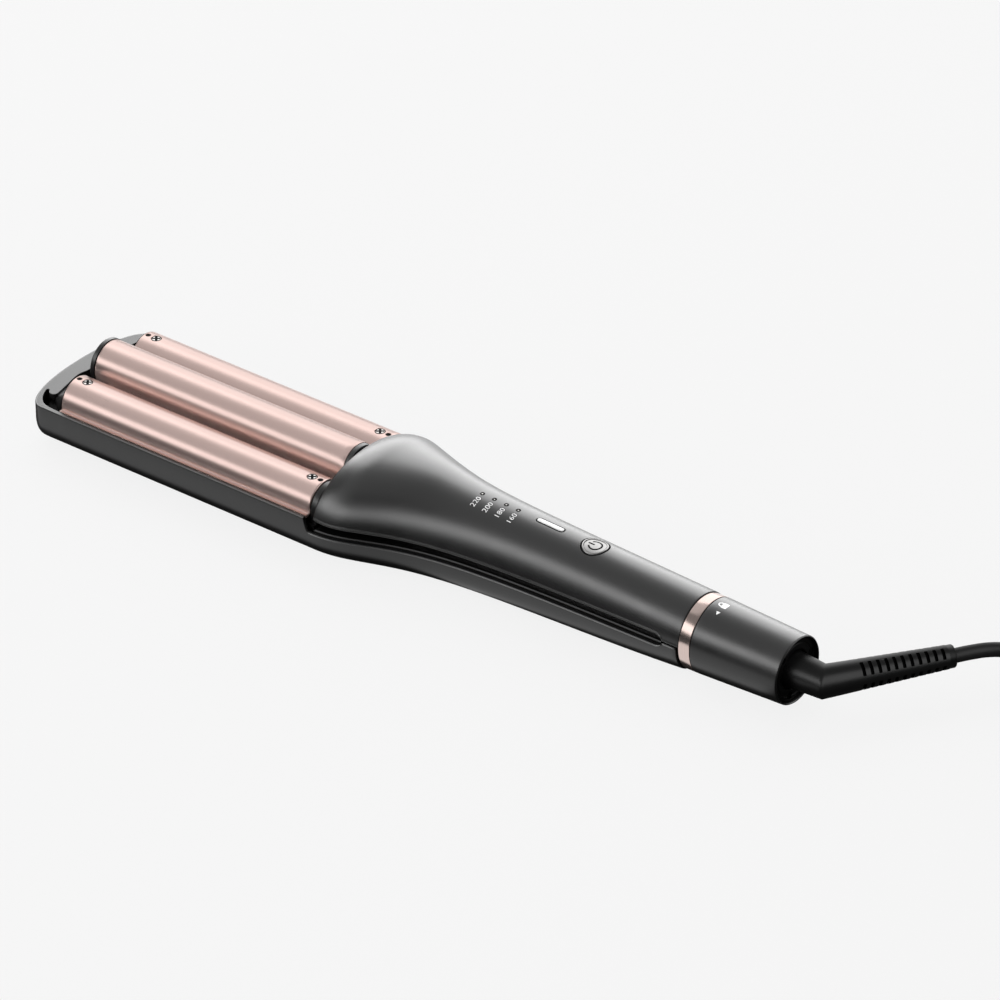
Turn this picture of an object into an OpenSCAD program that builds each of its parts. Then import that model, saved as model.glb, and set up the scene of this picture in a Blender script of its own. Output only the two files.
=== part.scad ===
// Hair waver: a three-barrel hot tool with a hinged lower arm, a rotary lock collar and a swivel cord.
// +X points to the cord end, +Z up, the origin lies under the middle of the tool on its resting face.

/* [Overall] */
// Length from the rounded tip to the rear rim of the lock collar
tool_l = 380; // [360:1:420]
// Height of the handle axis above the resting face
axis_z = 16.8; // [16.2:0.1:18]
// Wall of the moulded housings
wall = 1.8; // [1.5:0.1:2.2]
// Gap between pieces of one body that are pushed together
seat_gap = 0.1; // [0.05:0.05:0.2]
// Gap between pieces that move past each other
run_gap = 0.3; // [0.25:0.05:0.5]
// Radial play of a turning fit
fit_gap = 0.06; // [0.04:0.01:0.1]

/* [Lower arm] */
// Height of the tray rim above the handle axis
rim_rise = 3.2; // [2.8:0.1:3.8]
// Length of the rounded end of the tray, seen from above
tip_round = 12; // [10:0.5:16]
// Squareness of the tray's underside, as a superellipse power
tray_power = 4; // [3:0.1:5]
// Width of the flat land behind the tip rim
land_l = 8.4; // [7:0.1:9]
// Depth of the land below the rim
land_drop = 0.5; // [0.3:0.1:0.8]
// Height of the slot's lower lip below the handle axis
lip_drop = 3; // [2.6:0.1:3.4]
// Thickness of the cover that closes the lower arm in the slot
lower_cover_t = 2; // [1.6:0.1:2.4]
// Height of that cover above the lower lip
cover_step = 1.2; // [0.8:0.1:1.4]

/* [Wave plate] */
// Distance from the tip to the plate and the barrels
tip_l = 20; // [18:0.5:24]
// Length of the wave plate
plate_l = 134.4; // [112:0.4:150]
// Thickness of the plate
plate_t = 1.4; // [1:0.1:1.8]
// Diameter of the two fixed half barrels and of the middle barrel
barrel_d = 20.5; // [19:0.1:22]
// Room for the hair between the middle barrel and the half barrels
hair_gap = 2.98; // [2.6:0.02:3.4]
// Height of the half barrels' centres above the handle axis
hump_rise = 3.5; // [3.2:0.1:4]
// Depth of the valley between them below the handle axis
valley_drop = 2.8; // [2.6:0.1:3.4]
// Width of the plate's side flanges
flange_w = 1.6; // [1.2:0.1:1.8]
// Distance from those flanges to the tray's wall
plate_margin = 0.85; // [0.6:0.05:1.2]
// Diameter of the plate screws' heads
screw_head_d = 4; // [3.4:0.1:4.4]
// Shank diameter of the plate screws
screw_d = 2.5; // [2:0.1:2.8]
// Distance of the plate screws from the plate's ends
screw_inset = 6.4; // [5.5:0.1:7.5]
// Diameter of the locating pins
pin_d = 1.6; // [1.2:0.1:1.8]
// Distance of the locating pins from the plate's ends
pin_inset = 2; // [1.8:0.1:2.4]

/* [Middle barrel] */
// Height of its axis above the handle axis
barrel_rise = 10.2; // [10:0.1:10.6]
// Wall of the barrel tube
barrel_t = 1.2; // [1:0.1:1.6]
// Thickness of the tip cap's rim
cap_rim_t = 2.4; // [2:0.1:3]
// Overhang of the tip cap over the barrel
cap_lip = 0.3; // [0.1:0.05:0.5]
// Diameter of the rear collar that holds the barrel
neck_d = 17.4; // [16.6:0.1:17.6]

/* [Handle] */
// Width that the handle runs out to at the ring
handle_w = 32; // [31:0.5:33]
// Distance behind the nose where the flare is half gone
flare_u = 35; // [32:1:40]
// Power of the flare's curve
flare_power = 2.2; // [2:0.1:2.6]
// Height of the housing's top above the axis, behind the nose
top_front = 22.6; // [22:0.1:23.5]
// Height of the housing's top above the axis, at the ring
top_rear = 17; // [16.8:0.1:17.4]
// Extra height over the barrel mount
crown = 2.4; // [1.5:0.1:3]
// Drop of the top towards the nose edge
nose_drop = 4.4; // [4:0.1:4.6]
// Length of the rounded nose
nose_l = 15; // [12:0.5:18]
// Height of the slot's upper lip above the handle axis
slot_rise = 2.5; // [2.2:0.1:3]
// Length of the closed joint between the slot's end and the ring
slot_end = 9; // [8:0.5:10]

/* [Ring and lock collar] */
// Diameter of the trim ring
ring_d = 33; // [32.4:0.1:33.4]
// Width of the trim ring
ring_w = 5.4; // [4.5:0.1:6.5]
// Length of the lock collar
collar_l = 42; // [40:0.5:46]
// Diameter of the lock collar's rear end
collar_end_d = 30; // [29.6:0.1:31]
// Diameter of the core tube that the collar turns on
core_d = 25.8; // [25.4:0.1:26]
// Depth of the rear face inside the collar
face_depth = 1.6; // [1:0.1:2]

/* [Hinge] */
// Gap between the lower arm's rear end and the ring
hinge_gap = 1.4; // [1.3:0.1:1.8]
// Distance of the hinge pin from the lower arm's rear end
hinge_back = 4; // [3.6:0.1:4.4]
// Height of the hinge pin above the resting face
hinge_z = 6; // [5.8:0.1:6.4]
// Diameter of the hinge pin
hinge_pin_d = 3; // [2.6:0.1:3]
// Width of the bracket's tongue
tongue_w = 11; // [10:0.5:12]
// Wire diameter of the opening spring
spring_wire = 0.7; // [0.6:0.05:0.8]

/* [Controls] */
// Diameter of the power button
power_d = 11.2; // [9.5:0.1:12]
// Distance from the ring to the power button
power_back = 54.4; // [50:0.1:60]
// Length of the temperature button
temp_l = 14; // [12:0.1:15]
// Width of the temperature button
temp_w = 3; // [2.6:0.1:4.4]
// Distance between the two buttons
button_pitch = 22.9; // [20:0.1:26]
// Distance from the temperature button to the nearest light window
window_gap = 16.7; // [14:0.1:20]
// Distance between light windows
window_pitch = 6.2; // [5:0.1:7]
// Diameter of a light window
window_d = 1.6; // [1.2:0.1:2]
// Travel of the buttons
travel = 0.4; // [0.3:0.05:0.5]

/* [Cord] */
// Diameter of the mains cord
cord_d = 6.2; // [6.2:0.1:6.2]
// Distance from the rear rim to the elbow
elbow_back = 12.8; // [12:0.1:14]
// Angle of the elbow
elbow_turn = 57.3; // [57.3:0.1:57.3]
// Length of the strain relief behind the elbow
relief_l = 56; // [56:0.5:56]
// Diameter of the relief where it leaves the collar
relief_root_d = 15.8; // [15:0.1:16.4]
// Diameter of the relief at the elbow
relief_elbow_d = 14; // [13:0.1:14.4]
// Diameter of the relief at its thin end
relief_end_d = 9.8; // [9:0.1:10.4]
// Number of flexing slots in each row
slot_count = 11; // [8:1:12]
// Distance between flexing slots
slot_pitch = 3.5; // [3.2:0.1:3.6]

/* [Hidden] */
$fn = 64;

// Stations along the tool
x_tip = -tool_l / 2;
x_rear = tool_l / 2;
x_plate0 = x_tip + tip_l;
x_plate1 = x_plate0 + plate_l;
// Length of the end block behind the wave plate, up to the nose of the handle
rear_block_l = 3.6;
x_nose = x_plate1 + rear_block_l;
x_collar0 = x_rear - collar_l;
x_ring1 = x_collar0 - run_gap;
x_ring0 = x_ring1 - ring_w;
x_upper1 = x_ring0 - seat_gap;
x_lower1 = x_ring0 - hinge_gap;
handle_l = x_upper1 - x_nose;
x_slot1 = x_upper1 - slot_end;
x_land1 = x_tip + land_l;
x_hinge = x_lower1 - hinge_back;
x_power = x_ring0 - power_back;
x_temp = x_power - button_pitch;
x_window = [for (i = [0:3]) x_temp - window_gap - i * window_pitch];

// Heights
rim_z = axis_z + rim_rise;
lip_z = axis_z - lip_drop;
slot_z = axis_z + slot_rise;
joint_gap = 1.1;
joint_z = axis_z - 0.8;
hump_z = axis_z + hump_rise;
barrel_z = axis_z + barrel_rise;
valley_z = axis_z - valley_drop;
flange_z = rim_z - 0.4;
lower_cover_z = lip_z + cover_step;
upper_cover_t = 1.6;
upper_cover_z = slot_z + upper_cover_t;
board_t = 1.6;
// Height of the control board's underside above the upper cover
board_rise = 5.2;
board_z = upper_cover_z + board_rise;
switch_h = 3.5;
plunger_h = 0.8;
plunger_top = board_z + board_t + switch_h + plunger_h;

// Width of the wave plate's form and of the tray that holds it
hump_pitch = 2 * sqrt(pow(barrel_d + hair_gap, 2) - pow(barrel_rise - hump_rise, 2));
tray_w = hump_pitch + barrel_d + 2 * (flange_w + plate_margin + wall);

// Radii
hump_r = barrel_d / 2;
barrel_r = barrel_d / 2;
neck_r = neck_d / 2;
core_r = core_d / 2;
ring_r = ring_d / 2;
collar_end_r = collar_end_d / 2;
collar_bore_r = core_r + fit_gap;
core_bore_r = core_r - 2.9;
face_r = core_r + 1.1;
x_face = x_rear - face_depth;
rear_plate_t = 3;
x_plate_in = x_face - rear_plate_t;
journal_r = 6.94;
groove_gap = 0.7;
flange_r = core_bore_r - 0.8;
pin_bore_r = hinge_pin_d / 2 + fit_gap;

// Moulded curves -----------------------------------------------------------------------------

// Share of the full width that the rounded tip has at x
function tip_share(x, len) =
    let (s = min(1, max(0.0005, (x - x_tip) / len)))
    pow(1 - pow(1 - s, 2.15), 1 / 2.15);

// Half width of both arms
function half_w(x) =
    let (u = max(0, x - x_nose))
    u == 0 ? tray_w / 2 * tip_share(x, tip_round)
           : handle_w / 2 + (tray_w - handle_w) / 2 / (1 + pow(u / flare_u, flare_power));

// Depth of the underside below the axis
function depth(x) = axis_z * tip_share(x, tip_round + 2);

// Squareness of the underside, easing to a round section at the ring
function under_power(x) =
    let (u = max(0, x - x_nose) / handle_l)
    2.1 + (tray_power - 2.1) * (1 - pow(u, 2.5));

// Height of the upper housing's top above the axis
function top_h(x) =
    let (u = max(0, x - x_nose), n = max(0, 1 - u / nose_l))
    top_rear + (top_front - top_rear) * (1 - pow(u / handle_l, 1.6))
    + crown / (1 + pow(u / 45, 6)) - nose_drop * n * n;

// Half width of the upper housing, drawn in a little at the nose
function upper_w(x) =
    let (n = max(0, 1 - (x - x_nose) / nose_l))
    half_w(x) - 1.9 * n * n;

// Wall of the upper housing, thinner at the nose edge
function upper_wall(x) = min(wall, 1.1 + (x - x_nose) * 0.09);

// Height of the lower arm's upper edge: tray rim, slot lip, then the closed joint at the hinge
step_l = 4;
x_step = x_nose - 3.6;
function lower_top(x) =
    let (a = min(1, max(0, (x - x_step) / step_l)),
         b = min(1, max(0, (x_slot1 + 1 - x) / 3)))
    x < x_nose + 20 ? lip_z + (rim_z - lip_z) * pow(1 - a, 3)
                    : lip_z + (joint_z - lip_z) * (1 - pow(b, 0.5));

// Height of the upper housing's lower edge
function upper_edge(x) =
    let (b = min(1, max(0, (x_slot1 + 1 - x) / 3)))
    joint_z + joint_gap + (slot_z - joint_z - joint_gap) * pow(b, 0.5);

// Overshoot of the underside's curve, cut off level so that the tray has a flat to rest on
flat_share = 1.008;

// Points of the underside at x, drawn in by t, from one edge down and round to the other
function under_points(x, t, top, bottom) =
    let (w = half_w(x) - t * min(1, tip_share(x, tip_round) * 1.6),
         h = axis_z - bottom,
         n = under_power(x),
         knee = min(axis_z, top - 0.4),
         a0 = asin(min(1, pow((axis_z - knee) / h, n / 2))),
         steps = 20)
    concat([[w * pow(cos(a0), 2 / n), top]],
           [for (i = [0:steps])
                let (a = a0 + (180 - 2 * a0) * i / steps, c = cos(a))
                [sign(c) * w * pow(abs(c), 2 / n),
                 axis_z - h * min(1, flat_share * pow(abs(sin(a)), 2 / n))]],
           [[-w * pow(cos(a0), 2 / n), top]]);

// Points of the upper housing at x, drawn in by t, from the left edge over the top to the right
function over_points(x, t, edge) =
    let (w = upper_w(x) - t, h = top_h(x) - t,
         a0 = asin((edge - axis_z) / h), steps = 22)
    [for (i = [0:steps])
        let (a = 180 - a0 - (180 - 2 * a0) * i / steps)
        [w * cos(a), axis_z + h * sin(a)]];

function reversed(p) = [for (i = [len(p) - 1:-1:0]) p[i]];

// A thin shell lofted through sections, each one outline out and the inner one back
module loft(xs, sections) {
    n = len(sections[0]);
    m = len(xs);
    points = [for (j = [0:m - 1], p = sections[j]) [xs[j], p[0], p[1]]];
    sides = [for (j = [0:m - 2], i = [0:n - 1])
        let (k = (i + 1) % n)
        each [[j * n + i, j * n + k, (j + 1) * n + i],
              [j * n + k, (j + 1) * n + k, (j + 1) * n + i]]];
    half = n / 2;
    cap0 = [for (i = [0:half - 2])
        each [[i, n - 1 - i, i + 1], [i + 1, n - 1 - i, n - 2 - i]]];
    cap1 = [for (f = cap0) [f[0] + (m - 1) * n, f[2] + (m - 1) * n, f[1] + (m - 1) * n]];
    polyhedron(points, concat(sides, cap0, cap1), convexity = 8);
}

function ramp(a, b, n) = [for (i = [0:n]) a + (b - a) * i / n];

// A rod along X, from x0 to x1
module rod(r, x0, x1, r2 = undef) {
    translate([x0, 0, 0])
        rotate([0, 90, 0])
            cylinder(h = x1 - x0, r1 = r, r2 = is_undef(r2) ? r : r2);
}

module box(x0, x1, y0, y1, z0, z1) {
    translate([x0, y0, z0])
        cube([x1 - x0, y1 - y0, z1 - z0]);
}

// Extrudes a YZ outline along X
module along_x(x0, x1) {
    translate([x0, 0, 0])
        rotate([90, 0, 90])
            linear_extrude(height = x1 - x0)
                children();
}

// Extrudes an XZ outline along Y, centred
module across_y(w) {
    translate([0, w / 2, 0])
        rotate([90, 0, 0])
            linear_extrude(height = w)
                children();
}

// Lower arm ----------------------------------------------------------------------------------

floor_t = 2;
tray_x = concat([for (s = [0.002, 0.015, 0.05, 0.11, 0.2, 0.32, 0.46, 0.6]) x_tip + s * tip_round],
                [x_land1, x_land1 + 0.2, x_tip + tip_round, x_tip + tip_round + 3],
                ramp(x_plate0, x_step, 3),
                [for (s = [0.06, 0.16, 0.32, 0.6]) x_step + s * step_l],
                ramp(x_nose + 0.6, x_nose + 60, 11),
                ramp(x_nose + 74, x_slot1 - 2.2, 4),
                [x_slot1 - 1.6, x_slot1 - 1, x_slot1, x_slot1 + 1, x_hinge, x_lower1 - 1]);

function tray_floor(x) = x <= x_land1 ? lower_top(x) - land_drop : floor_t;

module lower_housing() {
    color("#3c3d3f")
    difference() {
        loft(concat(tray_x, [x_lower1]),
             concat([for (x = tray_x)
                        concat(under_points(x, 0, lower_top(x), axis_z - depth(x)),
                               reversed(under_points(x, wall, lower_top(x), tray_floor(x))))],
                    [concat(under_points(x_lower1, 0.9, lower_top(x_lower1), 0.9),
                            reversed(under_points(x_lower1, wall, lower_top(x_lower1), floor_t)))]));
        // way for the bracket's tongue out of the rear end
        box(x_hinge, x_lower1 + 1, -tongue_w / 2 - run_gap, tongue_w / 2 + run_gap,
            floor_t, rim_z);
    }
}

// Outline of a flat cover that fits inside a housing at height z, drawn in by gap
function cover_outline(xs, gap, z, n_of) =
    concat([for (x = xs) [x, -edge_w(x, z, n_of) + gap]],
           [for (x = reversed(xs)) [x, edge_w(x, z, n_of) - gap]]);

// Half width of the lower arm (n_of 1) or upper arm (n_of 2) at height z
function edge_w(x, z, n_of) =
    n_of == 1 ? half_w(x) * pow(1 - pow(max(0, axis_z - z) / axis_z, under_power(x)),
                                1 / under_power(x))
              : upper_w(x) * sqrt(1 - pow((z - axis_z) / top_h(x), 2));

lug_t = 1.8;
// Radius of the lugs and the tongue round the hinge pin
tongue_r = 2.4;
lug_y = tongue_w / 2 + run_gap;
lower_cover_x0 = x_nose + 0.6;
x_lug0 = x_slot1 - 5.3;
// Legs under the lower cover
leg_inset = 12;
leg_pitch = (x_slot1 - x_nose) / 3.4;
leg_r = 3;

module lower_cover() {
    z0 = lower_cover_z - lower_cover_t;
    xs = concat(ramp(lower_cover_x0, x_nose + 56, 9), ramp(x_nose + 70, x_slot1 - 1, 4));
    color("#1b1b1c")
    difference() {
        union() {
            translate([0, 0, z0])
                linear_extrude(height = lower_cover_t)
                    polygon(cover_outline(xs, wall + seat_gap, z0, 1));
            // legs that stand on the housing floor
            for (i = [0:2])
                translate([lower_cover_x0 + leg_inset + i * leg_pitch, 0, floor_t + seat_gap])
                    cylinder(h = z0 - floor_t - seat_gap + 0.5, r = leg_r);
            // lugs that hold the hinge pin
            for (s = [-1, 1])
                translate([0, s * (lug_y + lug_t / 2), 0])
                    across_y(lug_t) {
                        translate([x_hinge, hinge_z])
                            circle(r = tongue_r);
                        translate([x_lug0, hinge_z - tongue_r])
                            square([x_hinge - x_lug0, lower_cover_z - hinge_z + tongue_r]);
                    }
        }
        translate([x_hinge, 0, hinge_z])
            rotate([90, 0, 0])
                cylinder(h = tray_w, r = hinge_pin_d / 2 + 0.01, center = true);
        // room for the tongue and its spring
        box(x_hinge - 4.4, x_upper1, -lug_y, lug_y, 0, rim_z);
    }
}

module hinge_pin() {
    color("silver")
    translate([x_hinge, 0, hinge_z])
        rotate([90, 0, 0])
            cylinder(h = 2 * (lug_y + lug_t), r = hinge_pin_d / 2, center = true);
}

// Profile of the formed wave plate in the YZ plane
module plate_profile() {
    r = hump_r;
    difference() {
        union() {
            for (s = [-1, 1]) {
                translate([s * hump_pitch / 2, hump_z])
                    circle(r = r);
                translate([s * hump_pitch / 2 - r, flange_z - plate_t])
                    square([2 * r, hump_z - flange_z + plate_t]);
                translate([s > 0 ? hump_pitch / 2 + r - 0.1 : -hump_pitch / 2 - r - flange_w,
                           flange_z - plate_t])
                    square([flange_w + 0.1, plate_t]);
            }
            translate([-hump_pitch / 2 + r - plate_t, valley_z - plate_t])
                square([hump_pitch - 2 * r + 2 * plate_t, flange_z - valley_z + plate_t]);
        }
        for (s = [-1, 1]) {
            translate([s * hump_pitch / 2, hump_z])
                circle(r = r - plate_t);
            translate([s * hump_pitch / 2 - r + plate_t, hump_z - r - 1])
                square([2 * (r - plate_t), r + 1]);
        }
        translate([-hump_pitch / 2 + r, valley_z])
            square([hump_pitch - 2 * r, hump_z]);
    }
}

// Places children at the four ends of the half barrels, inset from the plate's ends
module at_hump_ends(inset) {
    for (x = [x_plate0 + inset, x_plate1 - inset], s = [-1, 1])
        translate([x, s * hump_pitch / 2, hump_z + hump_r])
            children();
}

screw_sink = 0.8;

module wave_plate() {
    color("#c9a79e")
    difference() {
        along_x(x_plate0, x_plate1)
            plate_profile();
        at_hump_ends(screw_inset) {
            translate([0, 0, -screw_sink])
                cylinder(h = 3, r = screw_head_d / 2 + seat_gap);
            translate([0, 0, -plate_t - 3])
                cylinder(h = 6, r = screw_d / 2 + seat_gap);
        }
        at_hump_ends(pin_inset)
            translate([0, 0, -3])
                cylinder(h = 6, r = pin_d / 2 + seat_gap);
    }
}

screw_l = 7;

module plate_screws() {
    color("#1d1d1f")
    at_hump_ends(screw_inset)
        difference() {
            union() {
                translate([0, 0, -screw_sink + 0.05])
                    cylinder(h = screw_sink, r = screw_head_d / 2);
                translate([0, 0, -screw_l])
                    cylinder(h = screw_l, r = screw_d / 2);
            }
            for (a = [0, 90])
                rotate(a)
                    translate([-1.2, -0.3, -0.5])
                        cube([2.4, 0.6, 2]);
        }
}

module plate_pins() {
    color("#2a2a2c")
    at_hump_ends(pin_inset)
        translate([0, 0, -5])
            cylinder(h = 4.6, r = pin_d / 2);
}

// Length of the domed fairings in front of the half barrels
dome_l = 9.5;

module tip_dome(r) {
    intersection() {
        translate([x_plate0 - seat_gap, 0, 0])
            sphere(r = r);
        box(x_plate0 - dome_l, x_plate0 - seat_gap, -r, r, -r, r);
    }
}

block_top_r = hump_r - 0.35;
block_w = tray_w - 18;
// Height where the end blocks narrow to a foot that stands on the tray floor, and its width
block_foot = 6.5;
block_foot_w = 36;

module plate_tip_block() {
    x1 = x_plate0 - seat_gap;
    x0 = x_land1 + 0.2 + seat_gap;
    color("#18181a")
    union() {
        for (s = [-1, 1])
            translate([0, s * hump_pitch / 2, hump_z])
                tip_dome(block_top_r);
        box(x0, x1, -block_w / 2, block_w / 2, block_foot, valley_z);
        box(x0, x1, -block_foot_w / 2, block_foot_w / 2, floor_t + 4 * seat_gap, block_foot + 1);
        // tongues under the plate's ends that take the screws and pins
        for (s = [-1, 1])
            translate([0, s * hump_pitch / 2, 0])
                hump_tongue(x1 - 0.5, x_plate0 + screw_inset + 3);
    }
}

// Half-round tongue inside a half barrel, bored for one screw and one pin
module hump_tongue(x0, x1) {
    r = hump_r - plate_t - seat_gap;
    difference() {
        translate([0, 0, hump_z])
            rod(r, x0, x1);
        box(x0 - 1, x1 + 1, -r - 1, r + 1, hump_z - r - 1, hump_z);
        for (x = [x_plate0 + screw_inset, x_plate1 - screw_inset])
            translate([x, 0, hump_z + hump_r - screw_l - 1])
                cylinder(h = screw_l + 2, r = screw_d / 2 + 0.02);
        for (x = [x_plate0 + pin_inset, x_plate1 - pin_inset])
            translate([x, 0, hump_z + hump_r - 6])
                cylinder(h = 8, r = pin_d / 2 + 0.02);
    }
}

module plate_rear_block() {
    x0 = x_plate1 + seat_gap;
    x1 = x_nose - run_gap;
    color("#18181a")
    union() {
        for (s = [-1, 1])
            translate([0, s * hump_pitch / 2, 0]) {
                translate([0, 0, hump_z])
                    rod(block_top_r, x0, x1, block_top_r - 0.4);
                hump_tongue(x_plate1 - screw_inset - 3, x0 + 0.5);
            }
        box(x0, x1, -tray_w / 2 + wall + 1.5, tray_w / 2 - wall - 1.5, lip_z - 4, valley_z + 1.5);
        box(x0, x1, -block_foot_w / 2, block_foot_w / 2, floor_t + 3 * seat_gap, lip_z - 3);
    }
}

spreader_x0 = x_plate0 + screw_inset + 3.4;
spreader_x1 = x_plate1 - screw_inset - 3.4;
heater_w = 13;
heater_t = 3;
heater_inset = 12;
carrier_foot_w = 28;

// Half-round aluminium bars that press on the inside of the half barrels
module heat_spreaders() {
    r = hump_r - plate_t - seat_gap;
    color("#b9bcc0")
    for (s = [-1, 1])
        translate([0, s * hump_pitch / 2, 0])
            difference() {
                translate([0, 0, hump_z])
                    rod(r, spreader_x0, spreader_x1);
                box(spreader_x0 - 1, spreader_x1 + 1, -r - 1, r + 1, hump_z - r - 1, hump_z - 1);
            }
}

module lower_heaters() {
    z1 = hump_z - 1 - seat_gap;
    color("#e9e4da")
    for (s = [-1, 1])
        translate([0, s * hump_pitch / 2, 0])
            box(spreader_x0 + heater_inset, spreader_x1 - heater_inset,
                -heater_w / 2, heater_w / 2, z1 - heater_t, z1);
}

// Moulded carrier under the heaters, standing on the tray floor
module heater_carrier() {
    z1 = hump_z - 1 - heater_t - 2 * seat_gap;
    web_z = valley_z - plate_t - seat_gap;
    x0 = spreader_x0 + 4;
    x1 = spreader_x1 - 4;
    color("#8c7a5c")
    union() {
        for (s = [-1, 1])
            box(x0, x1, s * hump_pitch / 2 - heater_w / 2, s * hump_pitch / 2 + heater_w / 2,
                floor_t + 3, z1);
        box(x0, x1, -hump_pitch / 2, hump_pitch / 2, floor_t + 3, web_z);
        for (i = [0:4])
            translate([x0 + 2 + i * (x1 - x0 - 7) / 4, -carrier_foot_w / 2, floor_t + seat_gap])
                cube([3, carrier_foot_w, 3.2]);
    }
}

module lower_thermistor() {
    color("#c7b26a")
    translate([0, hump_pitch / 2, hump_z - 1 - seat_gap - 1.2])
        rod(1.2, spreader_x0 + 3, spreader_x0 + heater_inset - 2);
}

// A close-wound coil about the hinge pin, swept along its helix
module opening_spring() {
    turns = 5;
    sides = 8;
    per_turn = 16;
    r = hinge_pin_d / 2 + run_gap + spring_wire / 2;
    pitch = spring_wire + 0.15;
    n = turns * per_turn;
    rings = [for (i = [0:n])
        let (a = 360 * i / per_turn, y = (i / per_turn - turns / 2) * pitch)
        [for (k = [0:sides - 1])
            let (b = 360 * k / sides, q = r + spring_wire / 2 * cos(b))
            [x_hinge + q * cos(a), y + spring_wire / 2 * sin(b), hinge_z + q * sin(a)]]];
    color("#9a9da2")
    polyhedron([for (g = rings, p = g) p],
               concat([for (i = [0:n - 1], k = [0:sides - 1])
                          let (l = (k + 1) % sides)
                          each [[i * sides + k, (i + 1) * sides + k, i * sides + l],
                                [i * sides + l, (i + 1) * sides + k, (i + 1) * sides + l]]],
                      [[for (k = [0:sides - 1]) k]],
                      [[for (k = [sides - 1:-1:0]) n * sides + k]]),
               convexity = 6);
}

// Upper arm ----------------------------------------------------------------------------------

upper_x = concat([for (u = [0, 0.8, 2, 3.6, 5.6, 8, 11]) x_nose + u],
                 ramp(x_nose + nose_l, x_nose + 60, 9),
                 ramp(x_nose + 74, x_slot1 - 2.2, 5),
                 [x_slot1 - 1.8, x_slot1 - 1.2, x_slot1 - 0.4, x_slot1 + 1,
                  (x_slot1 + x_upper1) / 2, x_upper1]);

power_r = power_d / 2;
bezel_w = 0.6;
button_gap = 0.25;

module upper_housing() {
    color("#3c3d3f")
    difference() {
        loft(upper_x,
             [for (x = upper_x)
                 concat(over_points(x, 0, upper_edge(x)),
                        reversed(over_points(x, upper_wall(x), upper_edge(x))))]);
        translate([x_power, 0, axis_z + 6])
            cylinder(h = 30, r = power_r + bezel_w + seat_gap);
        stadium(temp_l + 2 * button_gap, temp_w + 2 * button_gap, axis_z + 6, axis_z + 36);
        for (x = x_window)
            translate([x, 0, axis_z + 6])
                cylinder(h = 30, r = window_d / 2 + seat_gap);
    }
}

// A long rounded button shape on the temperature button's centre
module stadium(l, w, z0, z1) {
    box(x_temp - l / 2 + w / 2, x_temp + l / 2 - w / 2, -w / 2, w / 2, z0, z1);
    for (s = [-1, 1])
        translate([x_temp + s * (l - w) / 2, 0, z0])
            cylinder(h = z1 - z0, r = w / 2);
}

// Saddle that clamps the barrel's neck: where it starts, how long it is, and its walls
mount_inset = 3;
mount_l = 17;
mount_wall = 1.8;
mount_wing_t = 3.3;
mount_x0 = x_nose + mount_inset;
mount_x1 = mount_x0 + mount_l;
neck_gap_y = neck_r + mount_wall + 1.2;
post_x = [x_window[3] - 5, x_power + 10];
board_w = 19;
post_y = board_w / 2 - 2.4;

module upper_cover() {
    xs = concat(ramp(x_nose + 1.6, x_nose + 56, 9), ramp(x_nose + 70, x_slot1 - 2.4, 4));
    color("#1b1b1c")
    difference() {
        union() {
            translate([0, 0, slot_z])
                linear_extrude(height = upper_cover_t)
                    polygon(cover_outline(xs, wall + 0.25, upper_cover_z, 2));
            for (x = post_x, s = [-1, 1])
                translate([x, s * post_y, upper_cover_z - 0.5])
                    cylinder(h = board_rise + 0.5 - seat_gap, r = 1.8);
        }
        // notch round the barrel's neck
        box(x_nose, mount_x1 + 1, -neck_gap_y, neck_gap_y, slot_z - 1, upper_cover_z + 1);
        for (x = post_x, s = [-1, 1])
            translate([x, s * post_y, slot_z - 1])
                cylinder(h = board_rise + 3, r = 0.9);
    }
}

barrel_x0 = x_plate0 - 0.4;
barrel_x1 = x_plate1 - 0.4;

module middle_barrel() {
    color("#c9a79e")
    translate([0, 0, barrel_z])
        difference() {
            rod(barrel_r, barrel_x0, barrel_x1);
            rod(barrel_r - barrel_t, barrel_x0 - 1, barrel_x1 + 1);
        }
}

spigot_l = 5;

module barrel_tip_cap() {
    color("#18181a")
    translate([0, 0, barrel_z])
        union() {
            rod(barrel_r + cap_lip - 0.5, barrel_x0 - cap_rim_t, barrel_x0 - cap_rim_t + 0.5,
                barrel_r + cap_lip);
            rod(barrel_r + cap_lip, barrel_x0 - cap_rim_t + 0.5, barrel_x0 - seat_gap);
            rod(barrel_r - barrel_t - seat_gap, barrel_x0 - seat_gap, barrel_x0 + spigot_l);
        }
}

module barrel_neck() {
    color("#18181a")
    translate([0, 0, barrel_z])
        difference() {
            union() {
                rod(barrel_r - barrel_t - seat_gap, barrel_x1 - spigot_l, barrel_x1 + 0.1);
                rod(neck_r, barrel_x1 + seat_gap, mount_x1);
            }
            rod(neck_r - 2.4, barrel_x1 - spigot_l - 1, mount_x1 + 1);
        }
}

core_slot_h = 3.8;
core_slot_w = 14;

module barrel_core() {
    r = barrel_r - barrel_t - seat_gap;
    x0 = barrel_x0 + spigot_l + 0.4;
    x1 = barrel_x1 - spigot_l - 0.4;
    color("#b9bcc0")
    translate([0, 0, barrel_z])
        difference() {
            rod(r, x0, x1);
            box(x0 - 1, x1 + 1, -core_slot_w / 2, core_slot_w / 2,
                -core_slot_h / 2, core_slot_h / 2);
        }
}

module barrel_heater() {
    color("#e9e4da")
    translate([0, 0, barrel_z])
        box(barrel_x0 + heater_inset, barrel_x1 - heater_inset, -core_slot_w / 2 + seat_gap,
            core_slot_w / 2 - seat_gap, -core_slot_h / 2 + seat_gap, core_slot_h / 2 - seat_gap);
}

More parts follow.
